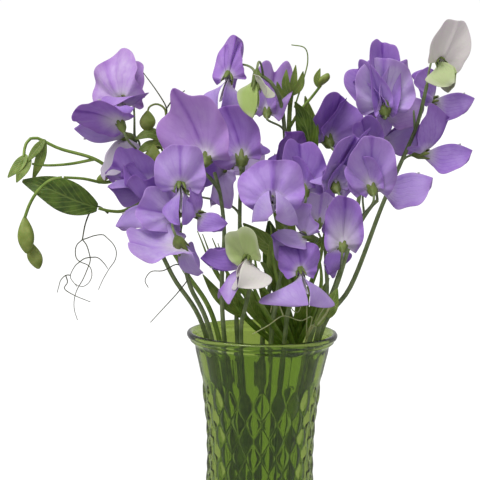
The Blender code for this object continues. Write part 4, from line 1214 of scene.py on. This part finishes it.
def make_vines():
    """The leafy shoots at the left and in the middle, each with a bud."""
    left = [(smooth_route(stalk_route(*VINE_LEFT), 90), (1.9, 1.7, 1.0)),
            (smooth_route(VINE_LEFT_SIDE, 30), (1.2, 0.9)),
            (smooth_route(VINE_LEFT_TWIG, 30), (1.1, 0.8)),
            (smooth_route(VINE_LEFT_LOW, 30), (1.3, 1.0))]
    finish_piece(skin_routes("vine_left_stalk", left, FINISH["shoot"]), "vine_left")
    make_leaflets("vine_left_leaflets", VINE_LEFT_LEAFLETS, "vine_left")
    make_bud("vine_left_bud", (-103, 6, 306), (-109, 3, 296), 4.0, "vine_left")
    centre = [(smooth_route(stalk_route(*VINE_CENTRE), 90), (2.4, 2.2, 1.5)),
              (smooth_route(VINE_CENTRE_SIDE, 30), (1.1, 0.9)),
              (smooth_route(VINE_CENTRE_TENDRIL, 40), (0.6, 0.35))]
    centre += [(smooth_route(shoot, 40), (2.2, 1.8, 0.3)) for shoot in SHOOTS]
    finish_piece(skin_routes("vine_centre_stalk", centre, FINISH["shoot"]), "vine_centre")
    make_leaflets("vine_centre_leaflets", VINE_CENTRE_LEAFLETS, "vine_centre")
    make_bud("vine_centre_bud", (35, 7, 362), (40, 5, 371), 3.4, "vine_centre")


def make_bud(name, top, bottom, radius, node):
    """A closed bud: an egg with folded petal ridges, hanging from its stalk."""
    rings, around = 14, 24
    v = np.linspace(0, 1, rings)[:, None]
    a = np.linspace(0, math.tau, around + 1)[None, :]
    size = radius * np.sin(math.pi * (0.03 + 0.94 * v) ** 1.15) ** 0.8
    size = size * (1 + 0.10 * np.cos(3 * a + 2.2 * v))
    top, bottom = np.array(top, float), np.array(bottom, float)
    axis = bottom - top
    centre = top + axis * v[..., None]
    points = centre + size[..., None] * np.stack([np.cos(a), np.sin(a), 0 * a], axis=-1)
    uv = np.stack([a / math.tau + 0 * v, v + 0 * a], axis=-1)
    sheets = Sheets()
    sheets.add_plain(points, uv)
    obj = sheets.build(name, "leaf", FINISH["bud"], BUD_SHEET)
    close_seams(obj, foot_only=False)
    obj.modifiers.remove(obj.modifiers["wall"])
    finish_piece(settle(obj), node)


def make_bud_spray():
    """Two drooping buds on a side shoot at the far left."""
    routes = [(smooth_route(BUD_SPRAY_STALK, 40), (1.0, 1.1)),
              (smooth_route(BUD_SPRAY_TWIG, 30), (0.6, 0.6))]
    finish_piece(skin_routes("bud_spray_stalk", routes, FINISH["shoot"]), "bud_spray_left")
    make_bud("bud_upper", (-157, -6, 275), (-155, -7, 250), 5.4, "bud_spray_left")
    make_bud("bud_lower", (-154, 1, 257), (-149, 1, 239), 5.0, "bud_spray_left")


def make_raceme():
    """A young raceme beside the leftmost flower stem, its buds still closed."""
    routes = [(smooth_route(RACEME_STALK, 40), (1.1, 0.8))]
    routes += [(smooth_route(turn, count), (0.8, 0.6))
               for turn, count in zip(RACEME_TURNS, (30, 20))]
    finish_piece(skin_routes("young_raceme_stalk", routes, FINISH["calyx"]),
                 "flower_stem_01")
    routes = [(smooth_route(curl, 40), (0.5, 0.3)) for curl in RACEME_CURLS]
    finish_piece(skin_routes("young_raceme_curls", routes, FINISH["tendril"], 8),
                 "flower_stem_01")
    make_leaflets("young_raceme_leaflets", RACEME_LEAFLETS, "flower_stem_01")
    make_bud("young_bud_high", (-77, -6, 345), (-77, -6, 331), 5.2, "flower_stem_01")
    make_bud("young_bud_low", (-73, -8, 323), (-74, -9, 306), 5.8, "flower_stem_01")


def make_tendrils():
    """The dark curls at the left, those beside the rim and the pale ones in front of it."""
    root = smooth_route(LEFT_CURLS[0], 30)
    routes = [(root, (TENDRIL_RADIUS * 1.5, TENDRIL_RADIUS))]
    routes += [(smooth_route(curl, 60), (TENDRIL_RADIUS * 0.9, TENDRIL_RADIUS * 0.5))
               for curl in LEFT_CURLS[1:]]
    finish_piece(skin_routes("tendrils_left_curls", routes, FINISH["tendril"], 8),
                 "tendrils_left")
    routes = [(smooth_route(curl, 40), (TENDRIL_RADIUS, TENDRIL_RADIUS * 0.6))
              for curl in STEM_CURLS]
    finish_piece(skin_routes("stem_curls", routes, FINISH["tendril"], 8), "flower_stem_02")
    shoot = smooth_route(stalk_route(*VINE_FRONT), 60)
    root = tuple(shoot[-10])
    front = [[root, *curl] for curl in FRONT_CURLS[:3]] + FRONT_CURLS[3:]
    routes = [(shoot, (1.3, 0.8))]
    routes += [(smooth_route(strand, 60), (TENDRIL_RADIUS, TENDRIL_RADIUS * 0.7))
               for strand in front]
    finish_piece(skin_routes("tendrils_front_curls", routes, FINISH["pale_tendril"], 8),
                 "tendrils_front")
    make_leaflets("tendrils_front_leaflets", FRONT_LEAFLETS, "tendrils_front")


# ---- studio -------------------------------------------------------------------------------
def make_studio():
    """A pale floor that runs to the horizon, an even sky and one broad soft key light."""
    sheet = bpy.data.meshes.new("studio_floor")
    half = FLOOR_REACH
    sheet.from_pydata([(-half, -half, 0), (half, -half, 0), (half, half, 0), (-half, half, 0)],
                      [], [(0, 1, 2, 3)])
    floor = bpy.data.objects.new("studio_floor", sheet)
    bpy.context.scene.collection.objects.link(floor)
    paper, tree, shader = new_finish("studio_paper", Roughness=0.9, Specular_IOR_Level=0.0)
    seen = wire(tree, "ShaderNodeLightPath").outputs["Is Camera Ray"]
    lit, straight = ((tone, tone, tone, 1.0) for tone in (PAPER_LIT, PAPER_SEEN))
    tree.links.new(mixed(tree, seen, lit, straight), shader.inputs["Base Color"])
    sheet.materials.append(paper)
    world = bpy.data.worlds.new("studio_air")
    world.use_nodes = True
    sky = world.node_tree
    seen = wire(sky, "ShaderNodeLightPath").outputs["Is Camera Ray"]
    strength = maths(sky, "MULTIPLY_ADD", seen, AIR_SEEN - SKY_LIGHT, SKY_LIGHT)
    sky.nodes["Background"].inputs["Color"].default_value = (1, 1, 1, 1)
    sky.links.new(strength, sky.nodes["Background"].inputs["Strength"])
    bpy.context.scene.world = world
    key = bpy.data.lights.new("key", "SUN")
    key.energy = KEY_LIGHT
    key.angle = KEY_ANGLE
    lamp = bpy.data.objects.new("key", key)
    lamp.rotation_euler = Vector(KEY_FROM).to_track_quat("Z", "Y").to_euler()
    bpy.context.scene.collection.objects.link(lamp)


def make_camera():
    """A long lens, a little above the rim and tilted by a hair."""
    camera = bpy.data.cameras.new("view")
    camera.lens = LENS
    camera.sensor_width = 36.0
    camera.clip_start = 0.01
    camera.clip_end = 200.0
    obj = bpy.data.objects.new("view", camera)
    target = Vector(VIEW_AIM)
    obj.location = target + Vector((0, -math.cos(VIEW_DOWN), math.sin(VIEW_DOWN))) * VIEW_DISTANCE
    look = (target - obj.location).to_track_quat("-Z", "Y")
    obj.rotation_euler = (look @ Quaternion((0, 0, 1), VIEW_ROLL)).to_euler()
    bpy.context.scene.collection.objects.link(obj)
    bpy.context.scene.camera = obj
    bpy.context.scene.view_settings.view_transform = "Standard"


make_camera()
make_studio()
make_vase()
for floret_name in FLORETS:
    make_petals(floret_name)
    make_calyx(floret_name)
for stem_name in STEMS:
    make_stem(stem_name)
for leaf_seed, leaf_name in enumerate(LEAVES):
    make_leaf(leaf_name, leaf_seed)
make_vines()
make_bud_spray()
make_raceme()
make_tendrils()
